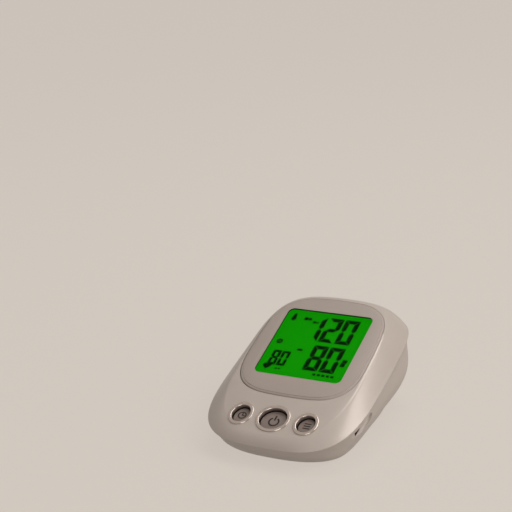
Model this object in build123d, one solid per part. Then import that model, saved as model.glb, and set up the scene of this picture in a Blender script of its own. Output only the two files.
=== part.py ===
from build123d import *
from math import cos, pi, radians, sin, tan
import os

# Desktop arm-cuff blood pressure monitor with a spoken read-out, millimetres.
# X runs to the right, +Y to the rear, +Z up. The origin is on the table, below
# the middle of the housing. The front edge is at -Y.

# Housing form
housing_length = 142.0
housing_half_width = 57.4
wall = 2.4
base_wall = 2.5
floor_lift = 1.5
foot_proud = 1.0
parting_tilt = 17.2
parting_front_height = 13.5
low_rise = 3.6
low_tilt = 2.0
flank_rise = 7.0
flank_tilt = 6.9
waist_rise = 9.8
waist_tilt = 12.0
shoulder_rise = 3.4
shoulder_tilt = 19.5
top_tilt = 22.2
top_edge_radius = 4.0

# Display and bezel, on the sloping top
display_y = 13.0
display_z = 53.7
bezel_proud = 1.0
bezel_thick = 2.6
bezel_half_width = 45.2
bezel_half_length = 48.6
bezel_shift = -1.7
bezel_edge_radius = 1.1
bezel_band = 1.6
bezel_step = 0.35
bezel_gap = 0.25
window_size = 66.0
window_corner = 4.5
window_lap = 2.2
window_thick = 1.5
lens_gap = 0.15
pocket_floor = 2.0
peg_radius = 1.2
peg_clear = 0.1
peg_places = [(40.0, -30.0), (39.0, 28.0)]

# Liquid crystal stack below the window
glass_width = 74.0
glass_length = 72.0
glass_thick = 2.2
glass_gap = 0.3
guide_thick = 3.0
frame_wall = 1.2
frame_corner = 2.5
frame_gap = 0.3
strip_width = 2.0
strip_inset = 0.4
strip_end = 4.0
strip_gap = 0.2
gasket_squeezed = 0.4
guide_gap = 0.4
glass_ledge = 2.6

# Boards
board_depth = 11.3
board_thick = 1.6
board_margin = 3.5
board_front_half_width = 30.5
board_front = -80.0
board_shoulder = -52.0
board_rear = 33.0
board_corner = 2.5
board_hole_clear = 0.3
board_screw_gap = 4.5
board_screw_s = (-40.0, 26.0)

# Buttons, left to right: centre x, width, length
button_row = -71.2
button_sizes = {"left": (-24.0, 12.7, 15.0), "centre": (0.2, 19.6, 18.5), "right": (24.4, 12.7, 14.6)}
button_gap = 0.35
button_sink = 3.4
button_depth = 3.2
button_wall = 1.2
button_top = 1.4
button_edge = 0.5
button_flange = 0.8
button_flange_thick = 0.9
button_travel = 1.0
ring_wall = 1.2
ring_lip = 2.4
ring_lip_height = 0.9
ring_fit = 0.1
stem_radius = 2.0
stem_length = 1.1
switch_size = 6.0
switch_body = 1.9
plunger_radius = 1.6
plunger_clear = 0.15

# Case posts and screws
front_post = (36.0, -44.0)
rear_post = (27.0, 58.0)
front_post_joint = 13.0
rear_post_joint = 40.0
post_radius = 3.7
post_well_radius = 2.7
screw_head_radius = 2.3
screw_head_height = 1.8
screw_shank_radius = 1.3
screw_clear = 0.06
screw_length = 9.0
post_floor = 2.0
board_screw_length = 6.0
boss_radius = 2.6
tongue_height = 1.6
tongue_inset = 1.6
tongue_gap = 0.12

# Battery compartment
cell_radius = 7.25
cell_body = 49.2
cell_nub_radius = 2.75
cell_nub = 1.3
cell_edge = 0.8
cell_pitch = 15.1
cell_count = 4
cell_gap = 0.3
bay_front = -6.0
bay_length = 56.0
bay_side_gap = 0.3
bay_wall = 2.4
bay_roof = 1.6
contact_thick = 0.5
spring_wire = 0.7
spring_radius = 3.6
spring_turns = 3.5
spring_end_gap = 0.04

# Battery door
door_thick = 2.0
door_lap = 1.5
door_gap = 0.3
door_pin_radius = 0.6
door_pin_length = 1.6
door_pin_clear = 0.06
door_head_gap = 0.15
door_corner = 1.5
grip_grooves = 5
grip_pitch = 2.4
grip_inset = 5.0
grip_width = 16.0

# Loudspeaker
speaker_y = -29.0
speaker_radius = 18.0
speaker_flange = 1.2
speaker_basket = 5.2
speaker_magnet_radius = 8.5
speaker_magnet_height = 4.5
speaker_rim_gap = 0.3
speaker_rim_wall = 1.2
speaker_boss_radius = 2.8
gasket_thick = 0.8
grille_slots = 7
grille_pitch = 3.6
grille_width = 1.6
grille_radius = 13.0
speaker_screw_x = 20.8
speaker_washer = 3.3
speaker_screw_deep = 3.6

# Air pump: a motor with a wobble-plate head, lying along X on the battery bay
pump_inset = 15.4
pump_y = 40.0
pump_z = 34.0
motor_radius = 12.0
motor_cap = 4.0
motor_can = 25.0
motor_wall = 1.0
motor_boss_radius = 3.0
motor_boss = 1.2
shaft_radius = 1.0
shaft_clear = 0.05
magnet_inner = 9.0
magnet_length = 18.0
armature_radius = 8.5
armature_length = 15.0
head_radius = 12.6
head_wall = 1.5
case_length = 18.0
crank_radius = 5.4
crank_length = 5.0
crank_offset = 3.0
pin_radius = 0.7
pin_reach = 9.0
arm_thick = 1.6
cup_radius = 3.5
cup_wall = 0.7
cup_depth = 4.4
cup_circle = 7.2
nipple_radius = 0.9
diaphragm_thick = 1.2
valve_plate_thick = 3.0
cover_thick = 3.4
sleeve_thick = 1.5
sleeve_length = 5.0
sleeve_clear = 0.02
saddle_thick = 2.4
sleeve_alongs = (10.0, 24.0)
crank_gap = 1.3

# Air line
nozzle_radius = 1.0
nozzle_bore = 0.5
nozzle_length = 3.6
tube_bore = 1.1
tube_radius = 2.0
tube_stop = 0.4
tube_bend = 4.0
manifold_gap = 22.5
manifold_radius = 3.2
manifold_height = 18.6
manifold_barb = 3.6
sensor_barb_z = 25.0
socket_z = 30.0
socket_inset = 3.9
socket_flange_radius = 7.0
socket_flange = 1.6
socket_body_radius = 4.6
socket_body_length = 7.6
socket_bore = 2.6
socket_bore_length = 7.0
socket_fit = 0.1
nut_thick = 2.0

# Release valve: a small solenoid lying along Y on the battery bay
valve_x = -18.0
valve_y = -3.0
valve_length = 20.0
valve_half_width = 7.4
valve_half_height = 6.2
valve_yoke = 1.2
bobbin_flange = 1.0
bobbin_wall = 0.9
coil_radius = 5.6
core_radius = 2.2
core_clear = 0.08
valve_cap_length = 7.0
valve_cap_radius = 5.0
valve_cap_end = 1.5
valve_travel = 0.8
seal_radius = 2.6
seal_thick = 1.2
seal_gap = 1.6
valve_flange_gap = 0.2
valve_spring_wire = 0.3
valve_spring_radius = 1.9
valve_spring_turns = 3

# Power inlet in the right-hand side
inlet_y = -30.0
inlet_z = 18.4
inlet_recess_length = 28.0
inlet_recess_height = 7.4
inlet_inset = 5.4
inlet_slot_shift = -3.5
inlet_slot_width = 7.8
inlet_slot_height = 3.2
inlet_corner = 0.9
inlet_body_length = 9.0
inlet_flange = 1.4
inlet_fit = 0.1

# Parts on the board
sensor_s = -2.0
sensor_size = 9.0
sensor_height = 3.5
processor_place = (12.0, -24.0)
processor_size = 12.0
voice_place = (28.0, -40.0)
voice_size = (10.0, 7.0)
chip_height = 1.4
capacitor_places = ((30.0, -8.0), (38.0, -8.0))
capacitor_radius = 2.5
capacitor_height = 6.0

# Feet
foot_radius = 4.5
foot_thick = 2.0
foot_front = (26.0, -50.0)
foot_rear = (17.5, 58.0)


def mirrored(places):
    """Both hands of each place (x, y)."""
    return [(side * x, y) for x, y in places for side in (-1, 1)]


# Heights and places that follow from the sizes above
base_z = foot_proud
floor_z = base_z + base_wall
half_length = housing_length / 2
lens_size = window_size + 2 * window_lap
stack_top = bezel_thick
glass_top = stack_top + gasket_squeezed
guide_top = glass_top + glass_thick
guide_bottom = guide_top + guide_thick
frame_top = bezel_thick + pocket_floor + frame_gap
strip_y = glass_length / 2 - strip_inset - strip_width / 2
strip_length = glass_width - 2 * strip_end
guide_length = 2 * (strip_y - strip_width / 2 - strip_gap - guide_gap)
board_screw_x = glass_width / 2 + frame_gap + frame_wall + board_screw_gap
board_half_width = board_screw_x + board_margin
board_screws = mirrored([(board_screw_x, s) for s in board_screw_s])
pegs = mirrored(peg_places)
case_posts = mirrored([front_post, rear_post])
feet = mirrored([foot_front, foot_rear])
bay_half = cell_count * cell_pitch / 2 + bay_side_gap
bay_rear = bay_front + bay_length
ledge_z = base_z + door_thick + door_head_gap
cell_z = base_z + door_thick + cell_gap + cell_radius
ceiling_z = cell_z + cell_radius + cell_gap
roof_z = ceiling_z + bay_roof
door_half = bay_half + door_lap
door_front = bay_front - door_lap
door_rear = bay_rear + door_lap
door_axis_y = door_front + door_thick / 2
door_axis_z = base_z + door_thick / 2
pump_x = housing_half_width - pump_inset
crank_start = motor_cap + motor_can + motor_boss + crank_gap
head_start = motor_cap + motor_can + case_length
arm_start = head_start - cup_depth - arm_thick
sleeve_places = [pump_x - along for along in sleeve_alongs]
socket_face = housing_half_width - socket_inset
manifold_x = manifold_gap - socket_face
valve_z = roof_z + valve_half_height
valve_flange_radius = valve_half_height - valve_flange_gap
inlet_floor = housing_half_width - inlet_inset


def tilted(y, z, angle):
    """A plane through (0, y, z) that climbs to the rear at an angle in degrees."""
    turn = radians(angle)
    return Plane(origin=(0, y, z), x_dir=(1, 0, 0), z_dir=(0, -sin(turn), cos(turn)))


top = tilted(display_y, display_z, top_tilt)
parting = tilted(-half_length, parting_front_height, parting_tilt)
deck = top.offset(-bezel_proud)


def parting_height(y):
    """Height of the joint between the two shells at a distance y."""
    return parting_front_height + (y + half_length) * tan(radians(parting_tilt))


def top_depth_height(y, depth):
    """Height of the plane that lies a depth below the bezel's face, at y."""
    return display_z + (y - display_y) * tan(radians(top_tilt)) - depth / cos(radians(top_tilt))


def on_top(x, s, depth):
    """A frame on the sloping top: x across, s up the slope, a depth below the bezel's face."""
    return top * Pos(x, s, -depth)


def signed_power(value, power):
    """Power of a number that keeps its sign."""
    return abs(value) ** power * (1 if value >= 0 else -1)


def rounded_outline(form, origin_y, lean):
    """Plan outline of the housing as a smooth closed curve of a superellipse.

    Front and rear halves have their own reach and squareness, and meet at the
    widest point. Taper narrows the rear. Lean turns distances along Y into
    distances along a sloping plane.
    """
    half, widest, front, rear, front_power, rear_power, taper = form
    count = 36
    points = []
    for index in range(count):
        angle = 2 * pi * (index + 0.5) / count - pi / 2
        ahead = sin(angle) < 0
        power = 2 / (front_power if ahead else rear_power)
        reach = widest - front if ahead else rear - widest
        y = widest + reach * signed_power(sin(angle), power)
        narrow = 1 - taper * max(0.0, y - widest)
        x = half * signed_power(cos(angle), power) * narrow
        points.append((x, (y - origin_y) / lean))
    return make_face(Spline(points, periodic=True))


def section(plane, form, grow=0.0):
    """One level of the housing: a form's outline on a plane, grown or shrunk."""
    half, widest, front, rear, front_power, rear_power, taper = form
    grown = (half + grow, widest, front - grow, rear + grow, front_power, rear_power, taper)
    return plane * rounded_outline(grown, plane.origin.Y, plane.z_dir.Z)


# Levels of the housing, from the sole up: half width, widest y, front y, rear y,
# squareness of the front and of the rear, and taper
sole_form = (housing_half_width - 12.4, -31.0, 10.9 - half_length, half_length - 6.5, 2.6, 4.8, 0.0009)
low_form = (housing_half_width - 9.3, -28.0, 6.4 - half_length, half_length - 2.8, 2.7, 5.2, 0.0006)
flank_form = (housing_half_width - 4.4, -10.0, 2.9 - half_length, half_length - 0.6, 2.9, 5.2, -0.0005)
waist_form = (housing_half_width - 1.7, -5.0, 1.2 - half_length, half_length - 0.2, 3.1, 5.3, -0.0001)
parting_form = (housing_half_width, 0.0, -half_length, half_length, 3.4, 5.4, 0.0003)
shoulder_form = (housing_half_width - 5.4, 3.0, 1.7 - half_length, half_length - 2.4, 3.2, 4.0, 0.0002)
deck_form = (housing_half_width - 10.3, 0.0, 5.5 - half_length, half_length - 12.5, 2.9, 2.9, 0.0)

sole = tilted(0, base_z, 0)
low = tilted(-half_length, base_z + low_rise, low_tilt)
flank = tilted(-half_length, base_z + flank_rise, flank_tilt)
waist = tilted(-half_length, base_z + waist_rise, waist_tilt)
shoulder = tilted(-half_length, parting_front_height + shoulder_rise, shoulder_tilt)


def lower_outer():
    """The tub below the parting line, with rolled lower edges and leaning sides."""
    levels = [(sole, sole_form), (low, low_form), (flank, flank_form)]
    levels += [(waist, waist_form), (parting, parting_form)]
    return loft([section(*level) for level in levels])


def lower_inner():
    """The hollow of the tub."""
    floor = tilted(0, floor_z, 0)
    levels = [(floor, sole_form, -wall / 2), (low.offset(floor_lift), low_form, -wall)]
    levels += [(flank, flank_form, -wall), (waist, waist_form, -wall), (parting, parting_form, -wall)]
    return loft([section(*level) for level in levels])


def upper_outer():
    """The cover above the parting line: steep shoulders and a flat sloping deck."""
    body = loft([section(parting, parting_form), section(shoulder, shoulder_form), section(deck, deck_form)])
    rim = body.faces().filter_by(GeomType.PLANE).sort_by(Axis.Z)[-1].edges()
    return fillet(rim, top_edge_radius)


def upper_inner():
    """The hollow of the cover, one wall below the deck."""
    ceiling = deck.offset(-wall)
    levels = [(parting, parting_form, -wall), (shoulder, shoulder_form, -wall)]
    return loft([section(*level) for level in levels] + [section(ceiling, deck_form, -wall / 2)])


def bezel_outline(grow=0.0):
    """The rounded outline of the display bezel, on the bezel's own face."""
    half_x = bezel_half_width + grow
    half_y = bezel_half_length + grow
    count = 32
    points = []
    for index in range(count):
        angle = 2 * pi * (index + 0.5) / count - pi / 2
        y = half_y * signed_power(sin(angle), 2 / 3.5)
        x = half_x * signed_power(cos(angle), 2 / 3.5) * (1 - 0.025 * y / half_y)
        points.append((x, y + bezel_shift))
    return make_face(Spline(points, periodic=True))


def slab(face, depth, thick):
    """A flat piece on the sloping top, its upper face a depth below the bezel's face."""
    return extrude(top.offset(-depth) * face, amount=-thick)


def post_joint(y):
    """Height at which the posts of the two shells meet."""
    return front_post_joint if y < 0 else rear_post_joint


def parting_tongue(outset, inset, height):
    """A ring along the parting line, between two insets from the outside."""
    ring = section(parting, parting_form, -outset) - section(parting, parting_form, -inset)
    return extrude(ring, amount=-height)


def deck_stands():
    """What stands inside the cover: the bezel's floor, the board's bosses and the posts."""
    ceiling = bezel_proud + wall - 0.5
    stands = [slab(bezel_outline(1.6), ceiling, bezel_thick + pocket_floor - ceiling)]
    for x, s in board_screws:
        stands.append(on_top(x, s, board_depth) * extrude(Circle(boss_radius), amount=board_depth - ceiling))
    for x, y in case_posts:
        stands.append(post(x, y, post_joint(y), top_depth_height(y, 0)))
    return stands


def post(x, y, low_z, high_z):
    """An upright screw post between two heights."""
    return Pos(x, y, low_z) * extrude(Circle(post_radius), amount=high_z - low_z)


def make_upper_shell():
    """The cover: shoulders, deck, bezel pocket, window and button openings, bosses and posts."""
    hanging = [parting_tongue(tongue_inset, wall, tongue_height)]
    for x, y in case_posts:
        hanging.append(post(x, y, post_joint(y), parting_height(y) + 2))
    body = upper_outer() + hanging
    cavity = upper_inner() - deck_stands()
    return body - [cavity] - upper_cuts()


def upper_cuts():
    """The bezel's pocket, the openings in the deck and the screw holes."""
    window = Rectangle(glass_width + 2 * glass_gap, glass_length + 2 * glass_gap)
    cuts = [slab(bezel_outline(bezel_gap), -5, bezel_thick + 5), slab(window, 0, board_depth - 1)]
    for name in button_sizes:
        cuts.append(slab(button_face(name, ring_wall + ring_fit), 0, board_depth - 1))
    for x, y in pegs:
        cuts.append(slab(Pos(x, y) * Circle(peg_radius + peg_clear), bezel_thick - 1, pocket_floor + 2))
    pilot = Circle(screw_shank_radius + screw_clear)
    for x, s in board_screws:
        cuts.append(on_top(x, s, board_depth) * extrude(pilot, amount=board_screw_length))
    for x, y in case_posts:
        cuts.append(Pos(x, y, post_joint(y)) * extrude(pilot, amount=screw_length))
    return cuts


def rolled(plate, radius):
    """The plate with its upper rim rounded."""
    face = plate.faces().filter_by(GeomType.PLANE).sort_by(lambda face: top_depth(face.center()))[0]
    return fillet(face.outer_wire().edges(), radius)


def make_display_bezel():
    """The flat surround of the display, with a rolled edge, a rebate for the window and pegs."""
    plate = rolled(slab(bezel_outline(), bezel_step, bezel_thick - bezel_step), bezel_edge_radius)
    plate += rolled(slab(bezel_outline(-bezel_band), 0, bezel_step + 1), bezel_step * 0.8)
    opening = slab(RectangleRounded(window_size, window_size, window_corner), 0, bezel_thick)
    seat = lens_size + 2 * lens_gap
    rebate = slab(RectangleRounded(seat, seat, window_corner), bezel_thick - window_thick, window_thick)
    studs = [slab(Pos(x, y) * Circle(peg_radius), bezel_thick, pocket_floor) for x, y in pegs]
    return (plate - [opening, rebate]) + studs


def make_display_window():
    """The clear window, seated in the bezel's rebate."""
    face = RectangleRounded(lens_size, lens_size, window_corner - lens_gap)
    return slab(face, bezel_thick - window_thick, window_thick)


def frame_ring(width, length, inner_width, inner_length):
    """A rectangular ring."""
    return Rectangle(width, length) - Rectangle(inner_width, inner_length)


def make_display_gasket():
    """The foam ring between the cover and the glass."""
    ring = frame_ring(glass_width, glass_length, window_size + 3, window_size + 3)
    return slab(ring, stack_top, gasket_squeezed)


def make_display_glass():
    """Two panes bonded together; the lower one is longer, with contact ledges."""
    depth = glass_top
    upper_pane = slab(Rectangle(glass_width, glass_length - 2 * glass_ledge), depth, glass_thick / 2)
    lower_pane = slab(Rectangle(glass_width, glass_length), depth + glass_thick / 2, glass_thick / 2)
    return upper_pane + lower_pane


def make_light_guide():
    """The clear plate behind the glass, with a tab for its lamp."""
    depth = guide_top
    plate = slab(Rectangle(glass_width - 2, guide_length), depth, guide_thick)
    tab = slab(Pos(0, guide_length / 2 - 4) * Rectangle(glass_width + frame_gap, 5), depth, guide_thick)
    return plate + tab


def make_display_frame():
    """The moulded frame that carries glass and guide on the board."""
    inner_width = glass_width + 2 * frame_gap
    inner_length = glass_length + 2 * frame_gap
    outer = RectangleRounded(inner_width + 2 * frame_wall, inner_length + 2 * frame_wall, frame_corner)
    depth = frame_top
    frame = slab(outer, depth, board_depth - depth)
    well = slab(Rectangle(inner_width, inner_length), depth, guide_bottom - depth)
    window = slab(Rectangle(glass_width - 14, guide_length - 14), depth, board_depth - depth)
    cuts = [well, window]
    for side in (-1, 1):
        slot = Pos(0, side * strip_y) * Rectangle(strip_length + 2 * frame_gap, strip_width + 2 * strip_gap)
        cuts.append(slab(slot, depth, board_depth - depth))
    return frame - cuts


def make_contact_strips():
    """Two rubber strips that join the glass to the board."""
    depth = guide_top
    strip = Rectangle(strip_length, strip_width)
    return [slab(Pos(0, side * strip_y) * strip, depth, board_depth - depth) for side in (-1, 1)]


def board_outline():
    """The board's outline: narrow under the buttons, wide under the display."""
    right = [(board_front_half_width, board_front), (board_front_half_width, board_shoulder)]
    right += [(board_half_width, board_shoulder), (board_half_width, board_rear)]
    left = [(-x, s) for x, s in reversed(right)]
    face = make_face(Polyline(right + left, close=True))
    return fillet(face.vertices(), board_corner)


def make_main_board():
    """The circuit board, hung from the cover's bosses, under display and buttons."""
    board = slab(board_outline(), board_depth, board_thick)
    hole = Circle(screw_shank_radius + board_hole_clear)
    holes = [slab(Pos(x, s) * hole, board_depth, board_thick) for x, s in board_screws]
    return board - holes


def button_face(name, grow=0.0):
    """The oval of one button opening, grown or shrunk."""
    x, width, length = button_sizes[name]
    return Pos(x, button_row) * Ellipse(width / 2 + grow, length / 2 + grow)


def make_button(name):
    """One key: a dished oval cap, a flange that keeps it in, and a stem."""
    x, width, length = button_sizes[name]
    skirt = button_sink + button_depth
    cap = slab(button_face(name, -button_gap), button_sink, button_depth)
    flange = slab(button_face(name, button_flange), skirt - button_flange_thick, button_flange_thick)
    hollow = slab(button_face(name, -button_gap - button_wall), button_sink + button_top, button_depth)
    root = button_sink + button_wall
    stem = slab(Pos(x, button_row) * Circle(stem_radius), root, skirt + stem_length - root)
    body = (cap + flange - hollow) + stem
    brim = body.faces().filter_by(lambda face: top_depth(face.center()) < button_sink + 0.01)
    return fillet(brim.edges(), button_edge)


def top_depth(point):
    """Depth of a point below the bezel's face."""
    return -top.to_local_coords(Vector(point)).Z


def make_button_ring(name):
    """The bright ring round one key: a tube through the deck with a rolled lip on it."""
    tube_end = button_sink + button_depth - button_flange_thick - button_gap
    inner = button_face(name)
    tube = slab(button_face(name, ring_wall) - inner, bezel_proud, tube_end - bezel_proud)
    lip = slab(button_face(name, ring_lip) - inner, bezel_proud - ring_lip_height, ring_lip_height)
    ring = tube + lip
    lip_top = bezel_proud - ring_lip_height
    crown = ring.faces().filter_by(lambda face: top_depth(face.center()) < lip_top + 0.01)
    return fillet(crown.edges(), ring_lip_height * 0.6)


def make_switches():
    """Three push switches on the board, one below each key."""
    parts = []
    tip = button_sink + button_depth + stem_length + button_travel + plunger_clear
    for x, width, length in button_sizes.values():
        base = extrude(Rectangle(switch_size, switch_size), amount=switch_body)
        plunger = extrude(Circle(plunger_radius), amount=board_depth - tip)
        parts.append(on_top(x, button_row, board_depth) * (base + plunger))
    return parts


def below_board(x, s):
    """A frame on the board's under side, its Z pointing down and away."""
    frame = Plane(on_top(x, s, board_depth + board_thick))
    return Plane(origin=frame.origin, x_dir=frame.x_dir, z_dir=-frame.z_dir)


def make_processor_chip():
    """The main chip, flat on the board's under side."""
    return below_board(*processor_place) * chip(processor_size, processor_size)


def make_voice_chip():
    """The chip that holds the spoken words."""
    return below_board(*voice_place) * chip(*voice_size)


def chip(width, length):
    """A flat moulded chip with sloping edges."""
    return extrude(Rectangle(width, length), amount=chip_height, taper=8)


def make_capacitors():
    """Two upright capacitors beside the pump's feed."""
    can = extrude(Circle(capacitor_radius), amount=capacitor_height)
    return [below_board(x, s) * can for x, s in capacitor_places]


def make_pressure_sensor():
    """The pressure sensor, with its nozzle pointing away from the board."""
    body = extrude(Rectangle(sensor_size, sensor_size), amount=sensor_height, taper=4)
    neck = Pos(0, 0, sensor_height) * extrude(Circle(nozzle_radius), amount=nozzle_length)
    bore = Pos(0, 0, sensor_height) * extrude(Circle(nozzle_bore), amount=nozzle_length)
    return below_board(manifold_x, sensor_s) * (body + neck - bore)


def box(x, y, z):
    """A block between two corners, each given as (low, high) along X, Y and Z."""
    size = [high - low for low, high in (x, y, z)]
    centre = [(high + low) / 2 for low, high in (x, y, z)]
    return Pos(*centre) * Box(*size)


def bay_block():
    """The walls and roof of the battery bay, as a solid block."""
    half = bay_half + bay_wall
    return box((-half, half), (bay_front - bay_wall, bay_rear + bay_wall), (ledge_z, roof_z))


def make_lower_shell():
    """The tub: battery bay, screw posts, saddles, loudspeaker grille, socket and inlet seats."""
    stands = [bay_block(), valve_bed(), speaker_rim(), inlet_seat(), socket_seat()] + pump_saddles()
    for x, y in case_posts:
        stands.append(post(x, y, base_z, post_joint(y)))
    cavity = lower_inner() - stands
    cuts = [door_opening(), bay_hollow(), speaker_grille(), speaker_well()]
    cuts += [inlet_recess(), inlet_hole(), socket_recess(), tongue_groove()]
    cuts += post_wells() + foot_pockets() + door_pin_holes() + speaker_screw_holes()
    return lower_outer() - [cavity] - cuts


def tongue_groove():
    """The step inside the tub's rim that takes the cover's tongue."""
    gap = tongue_gap
    ring = section(parting, parting_form, gap - tongue_inset) - section(parting, parting_form, -wall - 3)
    return extrude(ring, amount=-tongue_height - gap)


def door_opening():
    """The hole in the base for the battery door, and the room above the door's edge."""
    half = door_half + door_gap
    return box((-half, half), (door_front - door_gap, door_rear + door_gap), (base_z - 1, ledge_z))


def bay_hollow():
    """The room for the cells."""
    return box((-bay_half, bay_half), (bay_front, bay_rear), (base_z, ceiling_z))


def post_wells():
    """Wells for the case screws, from below, with the shank's hole in each post's end."""
    cuts = []
    for x, y in case_posts:
        seat = post_joint(y) - post_floor
        cuts.append(Pos(x, y, base_z - 1) * extrude(Circle(post_well_radius), amount=seat - base_z + 1))
        cuts.append(Pos(x, y, seat) * extrude(Circle(screw_shank_radius + 0.2), amount=post_floor))
    return cuts


def foot_pockets():
    """Shallow pockets for the rubber feet."""
    deep = foot_thick - foot_proud
    return [Pos(x, y, base_z - 1) * extrude(Circle(foot_radius + 0.1), amount=deep + 1) for x, y in feet]


def pump_saddles():
    """Two saddles on the bay's roof with half-round beds for the pump's sleeves."""
    bed = motor_radius + sleeve_thick
    saddles = []
    for x in sleeve_places:
        across = (x - saddle_thick / 2, x + saddle_thick / 2)
        plate = box(across, (pump_y - bed - 2, pump_y + bed), (roof_z - 1, pump_z - 2))
        round_bed = Pos(x, pump_y, pump_z) * Rot(0, 90, 0) * Cylinder(bed + sleeve_clear, 2 * saddle_thick)
        saddles.append(plate - round_bed)
    return saddles


def valve_bed():
    """Two ribs on the bay's roof that hold the release valve's yoke."""
    ribs = []
    for side in (-1, 1):
        inner = valve_half_width + 0.1
        x = sorted((valve_x + side * inner, valve_x + side * (inner + 1.2)))
        ribs.append(box(x, (valve_y + 3, valve_y + valve_length - 3), (roof_z - 1, roof_z + 5)))
    return ribs[0] + ribs[1]


def speaker_rim():
    """The ring that centres the loudspeaker, and its two screw bosses."""
    tall = gasket_thick + speaker_flange + 0.5
    rim = Circle(speaker_radius + speaker_rim_gap + speaker_rim_wall)
    for side in (-1, 1):
        rim += Pos(side * speaker_screw_x, 0) * Circle(speaker_boss_radius)
    return Pos(0, speaker_y, floor_z - 0.5) * extrude(rim, amount=tall)


def speaker_well():
    """The round room for the loudspeaker inside its rim."""
    return Pos(0, speaker_y, floor_z) * extrude(Circle(speaker_radius + speaker_rim_gap), amount=6)


def speaker_grille():
    """A round field of slots through the base."""
    slots = []
    for index in range(grille_slots):
        across = (index - (grille_slots - 1) / 2) * grille_pitch
        chord = 2 * (grille_radius**2 - across**2) ** 0.5
        slot = SlotOverall(chord, grille_width)
        slots.append(Pos(0, speaker_y + across, base_z - 1) * extrude(slot, amount=base_wall + 2))
    return slots[0] + slots[1:]


def speaker_screw_holes():
    """Pilot holes in the loudspeaker's bosses."""
    top_z = floor_z + gasket_thick + speaker_flange
    hole = Circle(screw_shank_radius * 0.7 + screw_clear)
    bore = Pos(0, speaker_y, top_z - speaker_screw_deep) * extrude(hole, amount=9)
    return [Pos(side * speaker_screw_x, 0, 0) * bore for side in (-1, 1)]


def inlet_frame(x):
    """A frame in the side wall at the inlet, X outwards, turned along the parting line."""
    tilt = radians(parting_tilt)
    return Plane(origin=(x, inlet_y, inlet_z), x_dir=(0, cos(tilt), sin(tilt)), z_dir=(1, 0, 0))


def inlet_seat():
    """The thick patch of side wall round the inlet, and the block below its body."""
    face = SlotOverall(inlet_recess_length + 6, inlet_recess_height + 5)
    return inlet_frame(inlet_floor - wall) * extrude(face, amount=12)


def inlet_recess():
    """The long scoop in the side wall, with a rounded floor edge."""
    mouth = SlotOverall(inlet_recess_length, inlet_recess_height)
    scoop = inlet_frame(inlet_floor) * extrude(mouth, amount=10)
    floor = scoop.faces().sort_by(Axis.X)[0]
    return fillet(floor.edges(), 1.6)


def inlet_hole():
    """The opening that the inlet's nose fills."""
    nose = inlet_frame(inlet_floor - wall - 1) * extrude(inlet_nose(inlet_fit), amount=wall + 5)
    room = inlet_body_length + 1
    return nose + inlet_frame(inlet_floor - wall - room) * extrude(inlet_body(inlet_fit), amount=room)


def inlet_nose(grow=0.0):
    """The rounded outline of the inlet in the wall."""
    width = inlet_slot_width + 2 * grow
    height = inlet_slot_height + 2 * grow
    return Pos(inlet_slot_shift, 0) * RectangleRounded(width, height, inlet_corner + grow)


def inlet_body(grow=0.0):
    """The outline of the inlet behind the wall."""
    width = inlet_slot_width + 2 * inlet_flange + 2 * grow
    height = inlet_slot_height + 2 * inlet_flange + 2 * grow
    return Pos(inlet_slot_shift, 0) * Rectangle(width, height)


def make_power_inlet():
    """The low-voltage inlet: a nose in the wall, a flange behind it, a socket with a tongue."""
    nose = inlet_nose()
    body = inlet_body()
    socket = Pos(inlet_slot_shift, 0) * RectangleRounded(inlet_slot_width - 1, inlet_slot_height - 1, 0.5)
    tongue = Pos(inlet_slot_shift, 0) * Rectangle(inlet_slot_width - 3, 0.7)
    back = inlet_floor - wall
    solid = inlet_frame(back) * extrude(nose, amount=wall)
    solid += inlet_frame(back - inlet_body_length) * extrude(body, amount=inlet_body_length)
    solid -= inlet_frame(back - inlet_body_length + 2) * extrude(socket, amount=inlet_body_length + wall)
    return solid + inlet_frame(back - inlet_body_length + 1) * extrude(tongue, amount=inlet_body_length)


def socket_frame(x):
    """A frame on the left side at the air socket, its Z pointing outwards."""
    return Plane(origin=(-x, pump_y, socket_z), x_dir=(0, -1, 0), z_dir=(-1, 0, 0))


def socket_seat():
    """The thick round patch of side wall behind the socket's flange."""
    patch = Circle(socket_flange_radius + wall)
    return socket_frame(socket_face - socket_flange - wall) * extrude(patch, amount=12)


def socket_recess():
    """The flat round seat for the socket's flange and the hole for its body."""
    seat_face = Circle(socket_flange_radius + socket_fit)
    hole_face = Circle(socket_body_radius + socket_fit)
    seat = socket_frame(socket_face - socket_flange) * extrude(seat_face, amount=10)
    return seat + socket_frame(socket_face - socket_body_length) * extrude(hole_face, amount=10)


def make_air_socket():
    """The socket for the cuff's air plug: flange, body and a nozzle inside."""
    inner = socket_face - socket_flange - socket_body_length
    steps = [(socket_face - socket_flange, socket_flange_radius, socket_flange)]
    steps.append((inner, socket_body_radius, socket_body_length))
    steps.append((inner - nozzle_length, nozzle_radius, nozzle_length + 1))
    holes = [(socket_face - socket_bore_length, socket_bore, socket_bore_length)]
    holes += [(inner - nozzle_length, nozzle_bore, nozzle_length + 4)]
    flange, body, nozzle = [socket_frame(x) * extrude(Circle(r), amount=tall) for x, r, tall in steps]
    bores = [socket_frame(x) * extrude(Circle(r), amount=tall) for x, r, tall in holes]
    solid = flange + [body, nozzle] - bores
    brim = solid.faces().sort_by(Axis.X)[0].outer_wire().edges()
    return fillet(brim, 0.6)


def make_socket_nut():
    """The ring nut that holds the socket from inside."""
    face = RegularPolygon(socket_flange_radius, 6) - Circle(socket_body_radius + 0.05)
    return socket_frame(socket_face - socket_flange - wall - nut_thick) * extrude(face, amount=nut_thick)


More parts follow.
